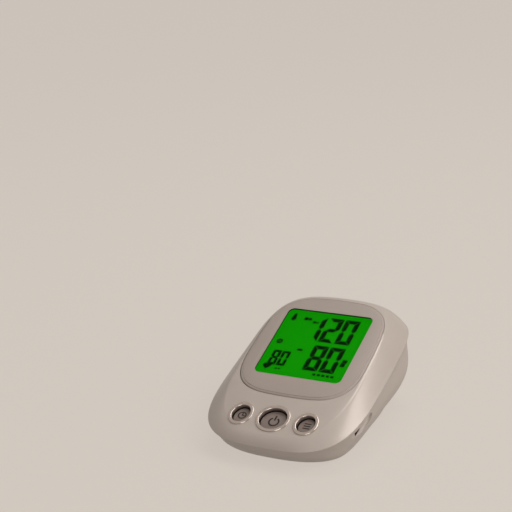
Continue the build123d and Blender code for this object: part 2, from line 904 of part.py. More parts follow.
def make_battery_door():
    """The door below the cells: a plate with a rounded hinge edge and two pins."""
    plate = box((-door_half, door_half), (door_axis_y, door_rear), (base_z, base_z + door_thick))
    corners = plate.edges().filter_by(Axis.Z).sort_by(Axis.Y)[-2:]
    plate = fillet(corners, door_corner)
    edge = Pos(0, door_axis_y, door_axis_z) * Rot(0, 90, 0) * Cylinder(door_thick / 2, 2 * door_half)
    reach = 2 * (door_half + door_pin_length)
    pins = Pos(0, door_axis_y, door_axis_z) * Rot(0, 90, 0) * Cylinder(door_pin_radius, reach)
    grip = []
    for index in range(grip_grooves):
        y = door_rear - grip_inset - grip_pitch * index
        grip.append(Pos(0, y, base_z) * Box(grip_width - 1.6 * index, 1.0, 0.8))
    return plate + [edge, pins] - grip


def door_pin_holes():
    """The blind holes for the door's pins."""
    reach = 2 * (door_half + door_pin_length + door_gap)
    hole = Cylinder(door_pin_radius + door_pin_clear, reach)
    return [Pos(0, door_axis_y, door_axis_z) * Rot(0, 90, 0) * hole]


def cell_x(index):
    """Centre of one cell across the bay."""
    return (index - (cell_count - 1) / 2) * cell_pitch


def cell_forward(index):
    """True where a cell's nub points to the front."""
    return index % 2 == 1


def make_battery_cells():
    """Four round cells side by side, alternate ones turned end for end."""
    cells = []
    for index in range(cell_count):
        nub = Pos(0, 0, (cell_body + cell_nub) / 2) * Cylinder(cell_nub_radius, cell_nub)
        body = fillet(Cylinder(cell_radius, cell_body).edges().filter_by(GeomType.CIRCLE), cell_edge) + nub
        direction = -1 if cell_forward(index) else 1
        nub_end = bay_front + contact_thick if direction < 0 else bay_rear - contact_thick
        centre = nub_end - direction * (cell_nub + cell_body / 2)
        cells.append(Pos(cell_x(index), centre, cell_z) * Rot(-90 * direction, 0, 0) * body)
    return cells


def wire_coil(room, radius, wire, turns):
    """A helical spring that fills a length of room along Z, from zero up."""
    margin = wire / 2 + spring_end_gap
    helix = Helix((room - 2 * margin) / turns, room - 2 * margin, radius)
    start = Plane(origin=helix @ 0, z_dir=helix % 0)
    return Pos(0, 0, margin) * sweep(start * RegularPolygon(wire / 2, 6), path=helix, is_frenet=True)


def make_battery_springs():
    """Four wire springs, one against the flat end of each cell."""
    room = bay_length - 2 * contact_thick - cell_body - cell_nub
    coil = wire_coil(room, spring_radius, spring_wire, spring_turns)
    springs = []
    for index in range(cell_count):
        at_rear = cell_forward(index)
        turn = 90 if at_rear else -90
        y = bay_rear - contact_thick if at_rear else bay_front + contact_thick
        springs.append(Pos(cell_x(index), y, cell_z) * Rot(turn, 0, 0) * coil)
    return springs


def contact_plate(first, last, at_rear):
    """A sheet contact behind the ends of one cell or of two neighbours."""
    half = cell_radius - 0.9
    y = (bay_rear - contact_thick, bay_rear) if at_rear else (bay_front, bay_front + contact_thick)
    plate = box((cell_x(first) - half, cell_x(last) + half), y, (cell_z - half, cell_z + half))
    return chamfer(plate.edges().filter_by(Axis.Y), 1.0)


def make_battery_contacts():
    """Five plated contacts that join the four cells in a row."""
    front = [contact_plate(0, 0, False), contact_plate(1, 2, False), contact_plate(3, 3, False)]
    return front + [contact_plate(0, 1, True), contact_plate(2, 3, True)]


def spun(points):
    """A solid of revolution about Z from (radius, height) points."""
    face = make_face(Polyline([(r, 0, z) for r, z in points], close=True))
    return revolve(face, Axis.Z)


def speaker_place(height=0.0):
    """Place of the loudspeaker's flange on its gasket."""
    return Pos(0, speaker_y, floor_z + gasket_thick + height)


def make_speaker_gasket():
    """The foam ring between the base and the loudspeaker."""
    ring = Circle(speaker_radius) - Circle(speaker_radius - 3.4)
    return Pos(0, speaker_y, floor_z) * extrude(ring, amount=gasket_thick)


def make_speaker_frame():
    """The pressed basket with its flange."""
    rim, neck, hole = speaker_radius - 3.0, speaker_magnet_radius + 0.9, speaker_magnet_radius - 2.9
    tall = speaker_basket
    points = [(rim, 0), (speaker_radius, 0), (speaker_radius, speaker_flange), (rim + 0.4, speaker_flange)]
    points += [(neck, tall), (hole, tall), (hole, tall - 0.8), (neck - 0.4, tall - 0.8), (rim, 0.5)]
    return speaker_place() * spun(points)


def make_speaker_magnet():
    """Ring magnet, back plate and pole as one block."""
    tall = speaker_basket + speaker_magnet_height
    points = [(0, speaker_basket - 0.6), (3.6, speaker_basket - 0.6), (3.6, tall - 1.5), (5.0, tall - 1.5)]
    rim = speaker_magnet_radius
    points += [(5.0, speaker_basket), (rim, speaker_basket), (rim, tall), (0, tall)]
    return speaker_place() * spun(points)


def make_speaker_cone():
    """The paper cone with its dust cap and voice coil former."""
    edge = speaker_radius - 3.05
    points = [(edge, 0.05), (edge, 0.45), (edge - 1.4, 0.85), (4.7, 3.9), (4.7, 7.4), (4.3, 7.4), (4.3, 3.7)]
    points += [(0, 2.6), (0, 2.3), (4.4, 3.4), (edge - 1.6, 0.35)]
    return speaker_place() * spun(points)


def screw(head_radius, head_height, shank_radius, length):
    """A screw, head at and below zero, shank upwards."""
    head = Pos(0, 0, -head_height) * extrude(Circle(head_radius), amount=head_height)
    head = fillet(head.edges().sort_by(Axis.Z)[0], head_height * 0.4)
    return head + extrude(Circle(shank_radius), amount=length)


def make_case_screws():
    """Four screws that hold the two shells together, from below."""
    body = screw(screw_head_radius, screw_head_height, screw_shank_radius, post_floor + screw_length - 1)
    return [Pos(x, y, post_joint(y) - post_floor) * body for x, y in case_posts]


def make_board_screws():
    """Four screws that hold the board against the cover's bosses."""
    length = board_thick + board_screw_length - 1
    body = screw(screw_head_radius, screw_head_height, screw_shank_radius, length)
    return [on_top(x, s, board_depth + board_thick) * body for x, s in board_screws]


def make_speaker_screws():
    """Two washer-headed screws that clamp the loudspeaker's flange."""
    height = speaker_flange
    body = Rot(180, 0, 0) * screw(speaker_washer, 1.4, screw_shank_radius * 0.7, speaker_screw_deep - 0.5)
    return [Pos(side * speaker_screw_x, 0, height) * (speaker_place() * body) for side in (-1, 1)]


def make_rubber_feet():
    """Four round feet in the base's pockets."""
    foot = extrude(Circle(foot_radius), amount=foot_thick)
    foot = fillet(foot.edges().sort_by(Axis.Z)[0], 0.6)
    return [Pos(x, y, 0) * foot for x, y in feet]


def pump_frame(along):
    """A frame on the pump's axis, a distance from the motor's rear, Z towards the nozzle."""
    return Plane(origin=(pump_x - along, pump_y, pump_z), x_dir=(0, 1, 0), z_dir=(-1, 0, 0))


def pump_tube(start, length, outer, inner=0.0):
    """A tube or disc on the pump's axis."""
    face = Circle(outer)
    if inner > 0:
        face = face - Circle(inner)
    return pump_frame(start) * extrude(face, amount=length)


def make_motor_can():
    """The motor's steel can with two flats and a bearing boss."""
    length = motor_can
    can = pump_tube(motor_cap, length, motor_radius, motor_radius - motor_wall)
    can += pump_tube(motor_cap + length - motor_wall, motor_wall, motor_radius, shaft_radius + shaft_clear)
    return can + pump_tube(motor_cap + length, motor_boss, motor_boss_radius, shaft_radius + shaft_clear)


def make_motor_end_cap():
    """The plastic end of the motor, with its bearing and two terminals."""
    cap = pump_tube(0, motor_cap, motor_radius - 0.4) - pump_tube(0.8, motor_cap, shaft_radius + shaft_clear)
    cap += pump_tube(motor_cap, 1.5, motor_radius - motor_wall - 0.05, motor_radius - 2.6)
    for side in (-1, 1):
        cap += pump_frame(-3) * (Pos(side * 6, 0) * extrude(Rectangle(0.5, 2.4), amount=4))
    return cap


def make_motor_magnets():
    """Two curved magnets inside the can."""
    ring = Circle(motor_radius - motor_wall) - Circle(magnet_inner)
    start = motor_cap + (motor_can - motor_wall - magnet_length) / 2 + 1
    magnets = []
    for side in (-1, 1):
        half = ring & Pos(side * motor_radius, 0) * Rectangle(2 * motor_radius - 6, 4 * motor_radius)
        magnets.append(pump_frame(start) * extrude(half, amount=magnet_length))
    return magnets


def make_motor_armature():
    """The slotted iron core on the shaft."""
    face = Circle(armature_radius) - Circle(shaft_radius)
    for index in range(3):
        face -= Rot(0, 0, 120 * index + 60) * Pos(armature_radius - 1.5, 0) * Rectangle(7, 1.6)
    start = motor_cap + (motor_can - armature_length) / 2
    return pump_frame(start) * extrude(face, amount=armature_length)


def make_motor_shaft():
    """The shaft, from the rear bearing through the can to the crank."""
    return pump_tube(1.0, crank_start + crank_length - 1.0, shaft_radius)


def make_pump_case():
    """The cup on the motor's nose, in which the crank turns."""
    start = motor_cap + motor_can
    case = pump_tube(start, case_length, head_radius, head_radius - head_wall)
    return case + pump_tube(start, motor_boss + 0.3, head_radius - head_wall, motor_boss_radius + 0.05)


def crank_pin():
    """The slanting steel pin, from the crank's rim to the centre of the wobble plate."""
    foot = Vector(crank_offset, 0, 0)
    tip = Vector(0, 0, pin_reach)
    direction = tip - foot
    frame = Plane(origin=foot, z_dir=direction)
    return pump_frame(crank_start + 2) * (frame * extrude(Circle(pin_radius), amount=direction.length))


def make_pump_crank():
    """The crank on the shaft, with its slanting pin."""
    wheel = pump_tube(crank_start, crank_length, crank_radius, shaft_radius)
    return wheel + crank_pin()


def make_wobble_plate():
    """The three-armed plate that the pin rocks, drawn level."""
    top_at = crank_start + 2 + pin_reach
    hub = pump_tube(top_at - 3.4, 4.6, cup_circle - cup_radius - 0.8)
    arms = None
    for index in range(3):
        arm = Rot(0, 0, 120 * index) * (Pos(cup_circle / 2, 0) * Rectangle(cup_circle, 2.6))
        pad = Rot(0, 0, 120 * index) * (Pos(cup_circle, 0) * Circle(2.2))
        arms = arm + pad if arms is None else arms + [arm, pad]
    for index in range(3):
        arms -= Rot(0, 0, 120 * index) * (Pos(cup_circle, 0) * Circle(nipple_radius + 0.05))
    plate = hub + pump_frame(arm_start) * extrude(arms, amount=arm_thick)
    wide, narrow = pin_radius + 1.7, pin_radius + 0.3
    socket = Cone(wide, narrow, 4.0, align=(Align.CENTER, Align.CENTER, Align.MIN))
    return plate - pump_frame(top_at - 3.6) * socket


def make_diaphragm():
    """The rubber diaphragm: a flange with three cups, each buttoned to an arm."""
    flange = pump_tube(head_start, diaphragm_thick, head_radius)
    cups, hollows = [], []
    for index in range(3):
        turn = Rot(0, 0, 120 * index) * Pos(cup_circle, 0)
        base = pump_frame(head_start - cup_depth)
        cups.append(base * (turn * extrude(Circle(cup_radius), amount=cup_depth)))
        hollow = extrude(Circle(cup_radius - cup_wall), amount=cup_depth + 2)
        hollows.append(base * (turn * Pos(0, 0, cup_wall) * hollow))
        nipple = pump_frame(arm_start - 0.8)
        cups.append(nipple * (turn * extrude(Circle(nipple_radius), amount=arm_thick + 0.9)))
        cups.append(nipple * (turn * extrude(Circle(nipple_radius + 0.6), amount=0.8)))
    return flange + cups - hollows


def make_valve_plate():
    """The plate above the diaphragm, with an inlet and an outlet for each cup."""
    start = head_start + diaphragm_thick
    plate = pump_tube(start, valve_plate_thick, head_radius, nipple_radius + 0.05)
    holes = []
    for index in range(3):
        for radius in (cup_circle - 3.8, cup_circle + 1.4):
            turn = Rot(0, 0, 120 * index) * Pos(radius, 0)
            holes.append(pump_frame(start) * (turn * extrude(Circle(0.6), amount=valve_plate_thick)))
    return plate - holes


def make_check_valve():
    """The rubber flap over the outlets."""
    start = head_start + diaphragm_thick
    stem = pump_tube(start + 0.4, valve_plate_thick - 0.4, nipple_radius)
    return stem + pump_tube(start + valve_plate_thick, 0.6, cup_circle - 2.6)


def make_pump_cover():
    """The cover of the head, with the outlet nozzle."""
    start = head_start + diaphragm_thick + valve_plate_thick
    cover = pump_tube(start, cover_thick, head_radius) - pump_tube(start, cover_thick - 1.4, head_radius - 2)
    cover += pump_tube(start + cover_thick, nozzle_length, nozzle_radius)
    cover -= pump_tube(start + cover_thick - 1.4, nozzle_length + 1.4, nozzle_bore)
    return cover


def make_pump_sleeves():
    """Two rubber sleeves between the pump and its saddles."""
    starts = [along - sleeve_length / 2 for along in sleeve_alongs]
    return [pump_tube(start, sleeve_length, motor_radius + sleeve_thick, motor_radius) for start in starts]


def valve_frame(along):
    """A frame on the release valve's axis, a distance from its rear, Z towards the nozzle."""
    return Plane(origin=(valve_x, valve_y + along, valve_z), x_dir=(1, 0, 0), z_dir=(0, 1, 0))


def valve_tube(start, length, outer, inner=0.0):
    """A tube or disc on the release valve's axis."""
    face = Circle(outer)
    if inner > 0:
        face = face - Circle(inner)
    return valve_frame(start) * extrude(face, amount=length)


def make_valve_yoke():
    """The bent steel yoke round the coil."""
    face = Rectangle(2 * valve_half_width, 2 * valve_half_height)
    block = valve_frame(0) * extrude(face, amount=valve_length)
    room = Rectangle(2 * (valve_half_width - valve_yoke), 4 * valve_half_height)
    block -= valve_frame(valve_yoke) * extrude(room, amount=valve_length - 2 * valve_yoke)
    return block - valve_tube(valve_length - 2, 3, core_radius + 2 * core_clear)


def make_valve_bobbin():
    """The spool that the coil is wound on."""
    inner = core_radius + core_clear
    start, end = valve_yoke, valve_length - valve_yoke
    spool = valve_tube(start, end - start, inner + bobbin_wall, inner)
    spool += valve_tube(start, bobbin_flange, valve_flange_radius, inner)
    return spool + valve_tube(end - bobbin_flange, bobbin_flange, valve_flange_radius, inner)


def make_valve_coil():
    """The copper winding."""
    start = valve_yoke + bobbin_flange
    return valve_tube(start, valve_length - 2 * start, coil_radius, core_radius + core_clear + bobbin_wall)


def make_valve_core():
    """The sliding core with its rubber seal."""
    reach = valve_length + seal_gap
    core = valve_tube(4, reach - 4, core_radius)
    return core + valve_tube(reach, seal_thick, seal_radius)


def make_valve_cap():
    """The valve's seat housing, with a nozzle and a vent."""
    cap = valve_tube(valve_length, valve_cap_length, valve_cap_radius)
    cap -= valve_tube(valve_length, valve_cap_length - valve_cap_end, valve_cap_radius - 1.2)
    seat = valve_length + seal_gap + seal_thick + valve_travel + 0.1
    end = valve_length + valve_cap_length
    cap += valve_tube(seat, end - seat, nozzle_radius + 0.4)
    cap += valve_tube(end, nozzle_length, nozzle_radius)
    cap -= valve_tube(seat, end + nozzle_length - seat, nozzle_bore)
    vent = Pos(valve_x, valve_y + valve_length + 2.5, valve_z + valve_cap_radius) * Cylinder(0.8, 4)
    return cap - vent


def make_valve_spring():
    """The return spring between the seal and the end of the valve's cap."""
    start = valve_length + seal_gap + seal_thick
    room = valve_cap_length - valve_cap_end - seal_gap - seal_thick
    return valve_frame(start) * wire_coil(room, valve_spring_radius, valve_spring_wire, valve_spring_turns)


def make_air_manifold():
    """The upright air block on the bay's roof, with a nozzle for each tube."""
    solid = Pos(manifold_x, pump_y, roof_z) * extrude(Circle(manifold_radius), amount=manifold_height)
    reach = manifold_radius + manifold_barb
    for direction, height in manifold_ports():
        frame = Plane(origin=(manifold_x, pump_y, height), z_dir=direction)
        solid += frame * extrude(Circle(nozzle_radius), amount=reach)
        solid -= frame * extrude(Circle(nozzle_bore), amount=reach)
    return solid


def manifold_ports():
    """Direction and height of each nozzle: pump, release valve, socket, sensor."""
    return [((1, 0, 0), pump_z), ((1, 0, 0), valve_z), ((-1, 0, 0), socket_z), ((0, -1, 0), sensor_barb_z)]


def tube_along(points, radius):
    """An air tube along a path with one rounded corner at most."""
    path = Polyline(points) if len(points) == 2 else FilletPolyline(points, radius=radius)
    frame = Plane(origin=path @ 0, z_dir=path % 0)
    return sweep(frame * (Circle(tube_radius) - Circle(tube_bore)), path=path)


def make_tube_pump():
    """The tube from the pump's nozzle to the air block."""
    start = pump_x - head_start - diaphragm_thick - valve_plate_thick - cover_thick - tube_stop
    end = manifold_x + manifold_radius + tube_stop
    return tube_along([(start, pump_y, pump_z), (end, pump_y, pump_z)], 0)


def make_tube_socket():
    """The tube from the air socket to the air block."""
    start = -(socket_face - socket_flange - socket_body_length - tube_stop)
    end = manifold_x - manifold_radius - tube_stop
    return tube_along([(start, pump_y, socket_z), (end, pump_y, socket_z)], 0)


def make_tube_valve():
    """The tube from the release valve round to the air block."""
    start = valve_y + valve_length + valve_cap_length + tube_stop
    end = manifold_x + manifold_radius + tube_stop
    points = [(valve_x, start, valve_z), (valve_x, pump_y, valve_z), (end, pump_y, valve_z)]
    return tube_along(points, tube_bend)


def make_tube_sensor():
    """The tube from the pressure sensor down to the air block."""
    frame = below_board(manifold_x, sensor_s)
    start = frame.origin + frame.z_dir * (sensor_height + tube_stop)
    drop = (start.Z - sensor_barb_z) / -frame.z_dir.Z
    corner = start + frame.z_dir * drop
    end = Vector(manifold_x, pump_y - manifold_radius - tube_stop, sensor_barb_z)
    return tube_along([start, corner, end], tube_bend)


PIECES = {
    "upper_shell": make_upper_shell,
    "lower_shell": make_lower_shell,
    "display_bezel": make_display_bezel,
    "display_window": make_display_window,
    "display_gasket": make_display_gasket,
    "display_glass": make_display_glass,
    "light_guide": make_light_guide,
    "display_frame": make_display_frame,
    "contact_strips": make_contact_strips,
    "main_board": make_main_board,
    "processor_chip": make_processor_chip,
    "voice_chip": make_voice_chip,
    "capacitors": make_capacitors,
    "pressure_sensor": make_pressure_sensor,
    "tact_switches": make_switches,
    "battery_door": make_battery_door,
    "battery_cells": make_battery_cells,
    "battery_springs": make_battery_springs,
    "battery_contacts": make_battery_contacts,
    "speaker_gasket": make_speaker_gasket,
    "speaker_frame": make_speaker_frame,
    "speaker_cone": make_speaker_cone,
    "speaker_magnet": make_speaker_magnet,
    "speaker_screws": make_speaker_screws,
    "motor_can": make_motor_can,
    "motor_end_cap": make_motor_end_cap,
    "motor_magnets": make_motor_magnets,
    "motor_armature": make_motor_armature,
    "motor_shaft": make_motor_shaft,
    "pump_case": make_pump_case,
    "pump_crank": make_pump_crank,
    "wobble_plate": make_wobble_plate,
    "pump_diaphragm": make_diaphragm,
    "pump_valve_plate": make_valve_plate,
    "check_valve": make_check_valve,
    "pump_cover": make_pump_cover,
    "pump_sleeves": make_pump_sleeves,
    "valve_yoke": make_valve_yoke,
    "valve_bobbin": make_valve_bobbin,
    "valve_coil": make_valve_coil,
    "valve_core": make_valve_core,
    "valve_spring": make_valve_spring,
    "valve_cap": make_valve_cap,
    "air_manifold": make_air_manifold,
    "tube_pump": make_tube_pump,
    "tube_socket": make_tube_socket,
    "tube_valve": make_tube_valve,
    "tube_sensor": make_tube_sensor,
    "air_socket": make_air_socket,
    "socket_nut": make_socket_nut,
    "power_inlet": make_power_inlet,
    "rubber_feet": make_rubber_feet,
    "case_screws": make_case_screws,
    "board_screws": make_board_screws,
}
for side in button_sizes:
    PIECES["button_" + side] = lambda side=side: make_button(side)
    PIECES["button_ring_" + side] = lambda side=side: make_button_ring(side)

if __name__ == "__main__":
    os.makedirs("parts", exist_ok=True)
    for name, make in PIECES.items():
        shape = make()
        if isinstance(shape, list):
            shape = Compound(children=shape)
        export_step(shape, "parts/" + name + ".step")
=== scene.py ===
import bmesh
import bpy
import numpy as np
from mathutils import Matrix, Vector


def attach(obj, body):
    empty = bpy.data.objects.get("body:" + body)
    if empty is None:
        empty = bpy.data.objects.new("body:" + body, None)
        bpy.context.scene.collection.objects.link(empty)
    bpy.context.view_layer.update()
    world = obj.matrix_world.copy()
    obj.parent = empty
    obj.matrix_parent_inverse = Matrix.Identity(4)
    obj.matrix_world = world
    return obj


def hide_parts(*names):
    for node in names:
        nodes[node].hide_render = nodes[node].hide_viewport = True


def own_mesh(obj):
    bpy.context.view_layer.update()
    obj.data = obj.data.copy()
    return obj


# The dressed blood pressure monitor, in metres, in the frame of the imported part:
# X to the right, +Y to the raised rear, +Z up, the table at zero.
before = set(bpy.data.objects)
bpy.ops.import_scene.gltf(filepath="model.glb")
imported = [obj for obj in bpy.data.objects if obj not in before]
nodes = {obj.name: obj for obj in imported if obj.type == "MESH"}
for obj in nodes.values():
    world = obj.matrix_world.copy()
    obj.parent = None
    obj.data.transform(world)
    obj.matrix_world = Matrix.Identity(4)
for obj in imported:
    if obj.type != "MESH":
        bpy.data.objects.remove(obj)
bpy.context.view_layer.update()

# Housing: two injection-moulded halves in warm silver-grey plastic with a fine
# spark texture and a thin coat of pearl lacquer, joined along a sloping line.
# The battery door is moulded from the same plastic. The lower half and the door
# are painted a little lighter than the cover, as painted light for their faces
# that turn down and away from the lamps.


def new_material(name):
    """A material with its node tree, its main shader and the piece's own coordinates."""
    material = bpy.data.materials.new(name)
    material.use_nodes = True
    tree = material.node_tree
    shader = tree.nodes["Principled BSDF"]
    place = tree.nodes.new("ShaderNodeTexCoord").outputs["Object"]
    return material, tree, shader, place


def add_noise(tree, place, scale, detail, stretch=(1, 1, 1)):
    """Fractal noise on the piece, with features of about 1 / scale metres."""
    mapping = tree.nodes.new("ShaderNodeMapping")
    mapping.inputs["Scale"].default_value = stretch
    noise = tree.nodes.new("ShaderNodeTexNoise")
    noise.inputs["Scale"].default_value = scale
    noise.inputs["Detail"].default_value = detail
    tree.links.new(place, mapping.inputs["Vector"])
    tree.links.new(mapping.outputs["Vector"], noise.inputs["Vector"])
    return noise.outputs["Fac"]


def remap(tree, value, from_low, from_high, to_low=0.0, to_high=1.0):
    """Carries a value evenly from one range to another and holds it at both ends."""
    ramp = tree.nodes.new("ShaderNodeMapRange")
    ramp.inputs["From Min"].default_value = from_low
    ramp.inputs["From Max"].default_value = from_high
    ramp.inputs["To Min"].default_value = to_low
    ramp.inputs["To Max"].default_value = to_high
    tree.links.new(value, ramp.inputs["Value"])
    return ramp.outputs["Result"]


def spread(tree, noise, low, high):
    """Numbers from low to high over the middle of a noise, where most of it lies."""
    return remap(tree, noise, from_low=0.3, from_high=0.7, to_low=low, to_high=high)


def blend_colours(tree, value, first, second):
    """Two colours blended by a value."""
    mix = tree.nodes.new("ShaderNodeMix")
    mix.data_type = "RGBA"
    mix.inputs["A"].default_value = (*first, 1)
    mix.inputs["B"].default_value = (*second, 1)
    tree.links.new(value, mix.inputs["Factor"])
    return mix.outputs["Result"]


def add_bump(tree, shader, height, depth, strength=0.5):
    """Fine relief on the surface, its depth in metres."""
    bump = tree.nodes.new("ShaderNodeBump")
    bump.inputs["Strength"].default_value = strength
    bump.inputs["Distance"].default_value = depth
    tree.links.new(height, bump.inputs["Height"])
    tree.links.new(bump.outputs["Normal"], shader.inputs["Normal"])


def shade(colour, amount):
    """A colour made darker or lighter: each channel times an amount, one at most."""
    return tuple(min(1.0, channel * amount) for channel in colour)


def linear(red, green, blue):
    """A display colour, 0 to 255, as the linear colour that the shader takes."""
    values = np.array([red, green, blue]) / 255
    return tuple(np.where(values <= 0.04045, values / 12.92, ((values + 0.055) / 1.055) ** 2.4))


def moulded_plastic(name, colour, rough, grain, metallic=0.0, depth=0.00002, coat=0.0, specular=0.5):
    """Moulded plastic: faint mottling, uneven gloss and a spark-eroded grain."""
    mottle, unevenness = 0.03, 0.08
    material, tree, shader, place = new_material(name)
    cloud = add_noise(tree, place, scale=60, detail=3)
    shader.inputs["Metallic"].default_value = metallic
    shader.inputs["Specular IOR Level"].default_value = specular
    shader.inputs["Coat Weight"].default_value = coat
    shader.inputs["Coat Roughness"].default_value = 0.12
    tone = blend_colours(tree, cloud, shade(colour, 1 - mottle), shade(colour, 1 + mottle))
    gloss = spread(tree, cloud, rough * (1 - unevenness), rough * (1 + unevenness))
    tree.links.new(tone, shader.inputs["Base Color"])
    tree.links.new(gloss, shader.inputs["Roughness"])
    add_bump(tree, shader, add_noise(tree, place, scale=grain, detail=2), depth)
    return material


def dress(names, material):
    """Gives the CAD nodes of these names one material."""
    for name in names:
        nodes[name].data.materials.clear()
        nodes[name].data.materials.append(material)


def smooth(names, angle=28):
    """Rounds off the facets of CAD nodes and keeps their edges crisp."""
    for name in names:
        piece = nodes[name]
        weld = piece.modifiers.new("weld", "WELD")
        weld.merge_threshold = 0.000002
        split = piece.modifiers.new("edges", "EDGE_SPLIT")
        split.split_angle = np.radians(angle)
        split.use_edge_sharp = False
        piece.data.polygons.foreach_set("use_smooth", np.ones(len(piece.data.polygons), bool))


housing_colour = linear(173, 162, 154)
cover_plastic = moulded_plastic("cover_plastic", housing_colour, rough=0.31, metallic=0.2, grain=1700,
                                depth=0.000006, coat=0.12, specular=0.4)
# Painted light: the lower half's colour is the housing colour made a little lighter.
base_plastic = moulded_plastic("base_plastic", shade(housing_colour, 1.06), rough=0.38, metallic=0.08,
                               grain=1700, depth=0.000008, specular=0.3)
dress(["upper_shell"], cover_plastic)
dress(["lower_shell", "battery_door"], base_plastic)
smooth(["upper_shell", "lower_shell", "battery_door"])

# Display bezel: a flat moulded frame with a rolled edge, a shade darker than
# the housing and more matt, set into the deck. The wall of its opening is
# painted nearly black as painted shade, for the shadow down the window's recess.

display_tilt = np.radians(22.2)
display_centre = np.array([0.0, 0.013, 0.0537])
rightward = np.array([1.0, 0.0, 0.0])
up_slope = np.array([0.0, np.cos(display_tilt), np.sin(display_tilt)])
off_slope = np.array([0.0, -np.sin(display_tilt), np.cos(display_tilt)])
opening_half = 0.0330
wall_margin = 0.00003
face_margin = 0.00005


def dot_with(tree, vector, direction):
    """The dot product of a vector with a fixed direction."""
    dot = tree.nodes.new("ShaderNodeVectorMath")
    dot.operation = "DOT_PRODUCT"
    dot.inputs[1].default_value = direction
    tree.links.new(vector, dot.inputs[0])
    return dot.outputs["Value"]


def distance_along(tree, place, direction):
    """How far a point lies from the bezel's middle along one direction, negative on its other side."""
    offset = tree.nodes.new("ShaderNodeVectorMath")
    offset.operation = "SUBTRACT"
    offset.inputs[1].default_value = display_centre
    tree.links.new(place, offset.inputs[0])
    return dot_with(tree, offset.outputs["Vector"], direction)


def calculate(tree, operation, first, second=None):
    """One step of arithmetic on values; a plain number may stand for the second."""
    step = tree.nodes.new("ShaderNodeMath")
    step.operation = operation
    tree.links.new(first, step.inputs[0])
    if isinstance(second, float):
        step.inputs[1].default_value = second
    elif second is not None:
        tree.links.new(second, step.inputs[1])
    return step.outputs["Value"]


def paint_over(tree, shader, mask, colour):
    """Lays a second colour over the shader's base colour where the mask is one."""
    under = shader.inputs["Base Color"].links[0].from_socket
    mix = tree.nodes.new("ShaderNodeMix")
    mix.data_type = "RGBA"
    mix.inputs["B"].default_value = (*colour, 1)
    tree.links.new(mask, mix.inputs["Factor"])
    tree.links.new(under, mix.inputs["A"])
    tree.links.new(mix.outputs["Result"], shader.inputs["Base Color"])


bezel_plastic = moulded_plastic("bezel_plastic", linear(154, 142, 134), rough=0.5, metallic=0.1, grain=3400,
                                depth=0.00001, specular=0.4)
tree = bezel_plastic.node_tree
place = tree.nodes["Texture Coordinate"].outputs["Object"]
across = calculate(tree, "ABSOLUTE", distance_along(tree, place, rightward))
upward = calculate(tree, "ABSOLUTE", distance_along(tree, place, up_slope))
inside = calculate(tree, "LESS_THAN", calculate(tree, "MAXIMUM", across, upward), opening_half + wall_margin)
sunk = calculate(tree, "LESS_THAN", distance_along(tree, place, off_slope), -face_margin)
painted_wall_shade = calculate(tree, "MULTIPLY", inside, sunk)
# Painted shade: the wall of the window's opening is laid nearly black.
paint_over(tree, tree.nodes["Principled BSDF"], painted_wall_shade, linear(26, 20, 17))
dress(["display_bezel"], bezel_plastic)
smooth(["display_bezel"])

# Window and display: a clear acrylic plate over a liquid crystal cell that a
# plate of clear plastic lights from behind in green, sealed by a foam gasket.
# The figures are the dark segments of the cell.

window_clear, tree, shader, place = new_material("window_clear")
cast_marks = blend_colours(tree, add_noise(tree, place, scale=40, detail=3), (0.985, 0.985, 0.98), (1, 1, 1))
tree.links.new(cast_marks, shader.inputs["Base Color"])
shader.inputs["Transmission Weight"].default_value = 1.0
shader.inputs["IOR"].default_value = 1.05
shader.inputs["Roughness"].default_value = 0.0
dress(["display_window"], window_clear)

glass_depth = 0.0030
glass_centre = display_centre - off_slope * glass_depth
glow_radius = 0.047
backlight = linear(12, 141, 2)
glow_middle, glow_rim, unlit = shade(backlight, 1.04), shade(backlight, 0.95), shade(backlight, 0.04)


def lit_crystal():
    """The lit cell: its green falls a little with the distance from the middle, times a faint dot grain."""
    material, tree, shader, place = new_material("lit_crystal")
    away = tree.nodes.new("ShaderNodeVectorMath")
    away.operation = "DISTANCE"
    away.inputs[1].default_value = glass_centre
    tree.links.new(place, away.inputs[0])
    fall = remap(tree, away.outputs["Value"], 0.0, glow_radius)
    glow = blend_colours(tree, fall, glow_middle, glow_rim)
    dots = add_noise(tree, place, scale=1800, detail=2)
    grain = blend_colours(tree, dots, (0.9, 0.9, 0.9), (1.0, 1.0, 1.0))
    product = tree.nodes.new("ShaderNodeMix")
    product.data_type = "RGBA"
    product.blend_type = "MULTIPLY"
    product.inputs["Factor"].default_value = 1.0
    tree.links.new(glow, product.inputs["A"])
    tree.links.new(grain, product.inputs["B"])
    tree.links.new(product.outputs["Result"], shader.inputs["Emission Color"])
    shader.inputs["Base Color"].default_value = (*unlit, 1)
    shader.inputs["Emission Strength"].default_value = 1.0
    shader.inputs["Roughness"].default_value = 0.5
    shader.inputs["Specular IOR Level"].default_value = 0.0
    return material


dress(["display_glass"], lit_crystal())

figure_ink = moulded_plastic("figure_ink", (0.001, 0.004, 0.001), rough=0.6, grain=1500, depth=0.000004,
                             specular=0.0)
shader = figure_ink.node_tree.nodes["Principled BSDF"]
shader.inputs["Emission Color"].default_value = (*linear(3, 26, 3), 1)
shader.inputs["Emission Strength"].default_value = 1.0


def on_display(x, s, rise):
    """Points over the display: its middle, plus x to the right, s up the slope and rise off the glass."""
    x, s, rise = np.broadcast_arrays(x, s, rise)
    return glass_centre + x[..., None] * rightward + s[..., None] * up_slope + rise[..., None] * off_slope


def add_mesh(name, points, faces, material, body, smooth_shading=False):
    """A new piece from points and faces, riding on one body."""
    mesh = bpy.data.meshes.new(name)
    mesh.from_pydata(np.asarray(points).reshape(-1, 3).tolist(), [], [list(face) for face in faces])
    mesh.update()
    mesh.polygons.foreach_set("use_smooth", np.full(len(mesh.polygons), smooth_shading))
    piece = bpy.data.objects.new(name, mesh)
    bpy.context.scene.collection.objects.link(piece)
    mesh.materials.append(material)
    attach(piece, body)
    return piece


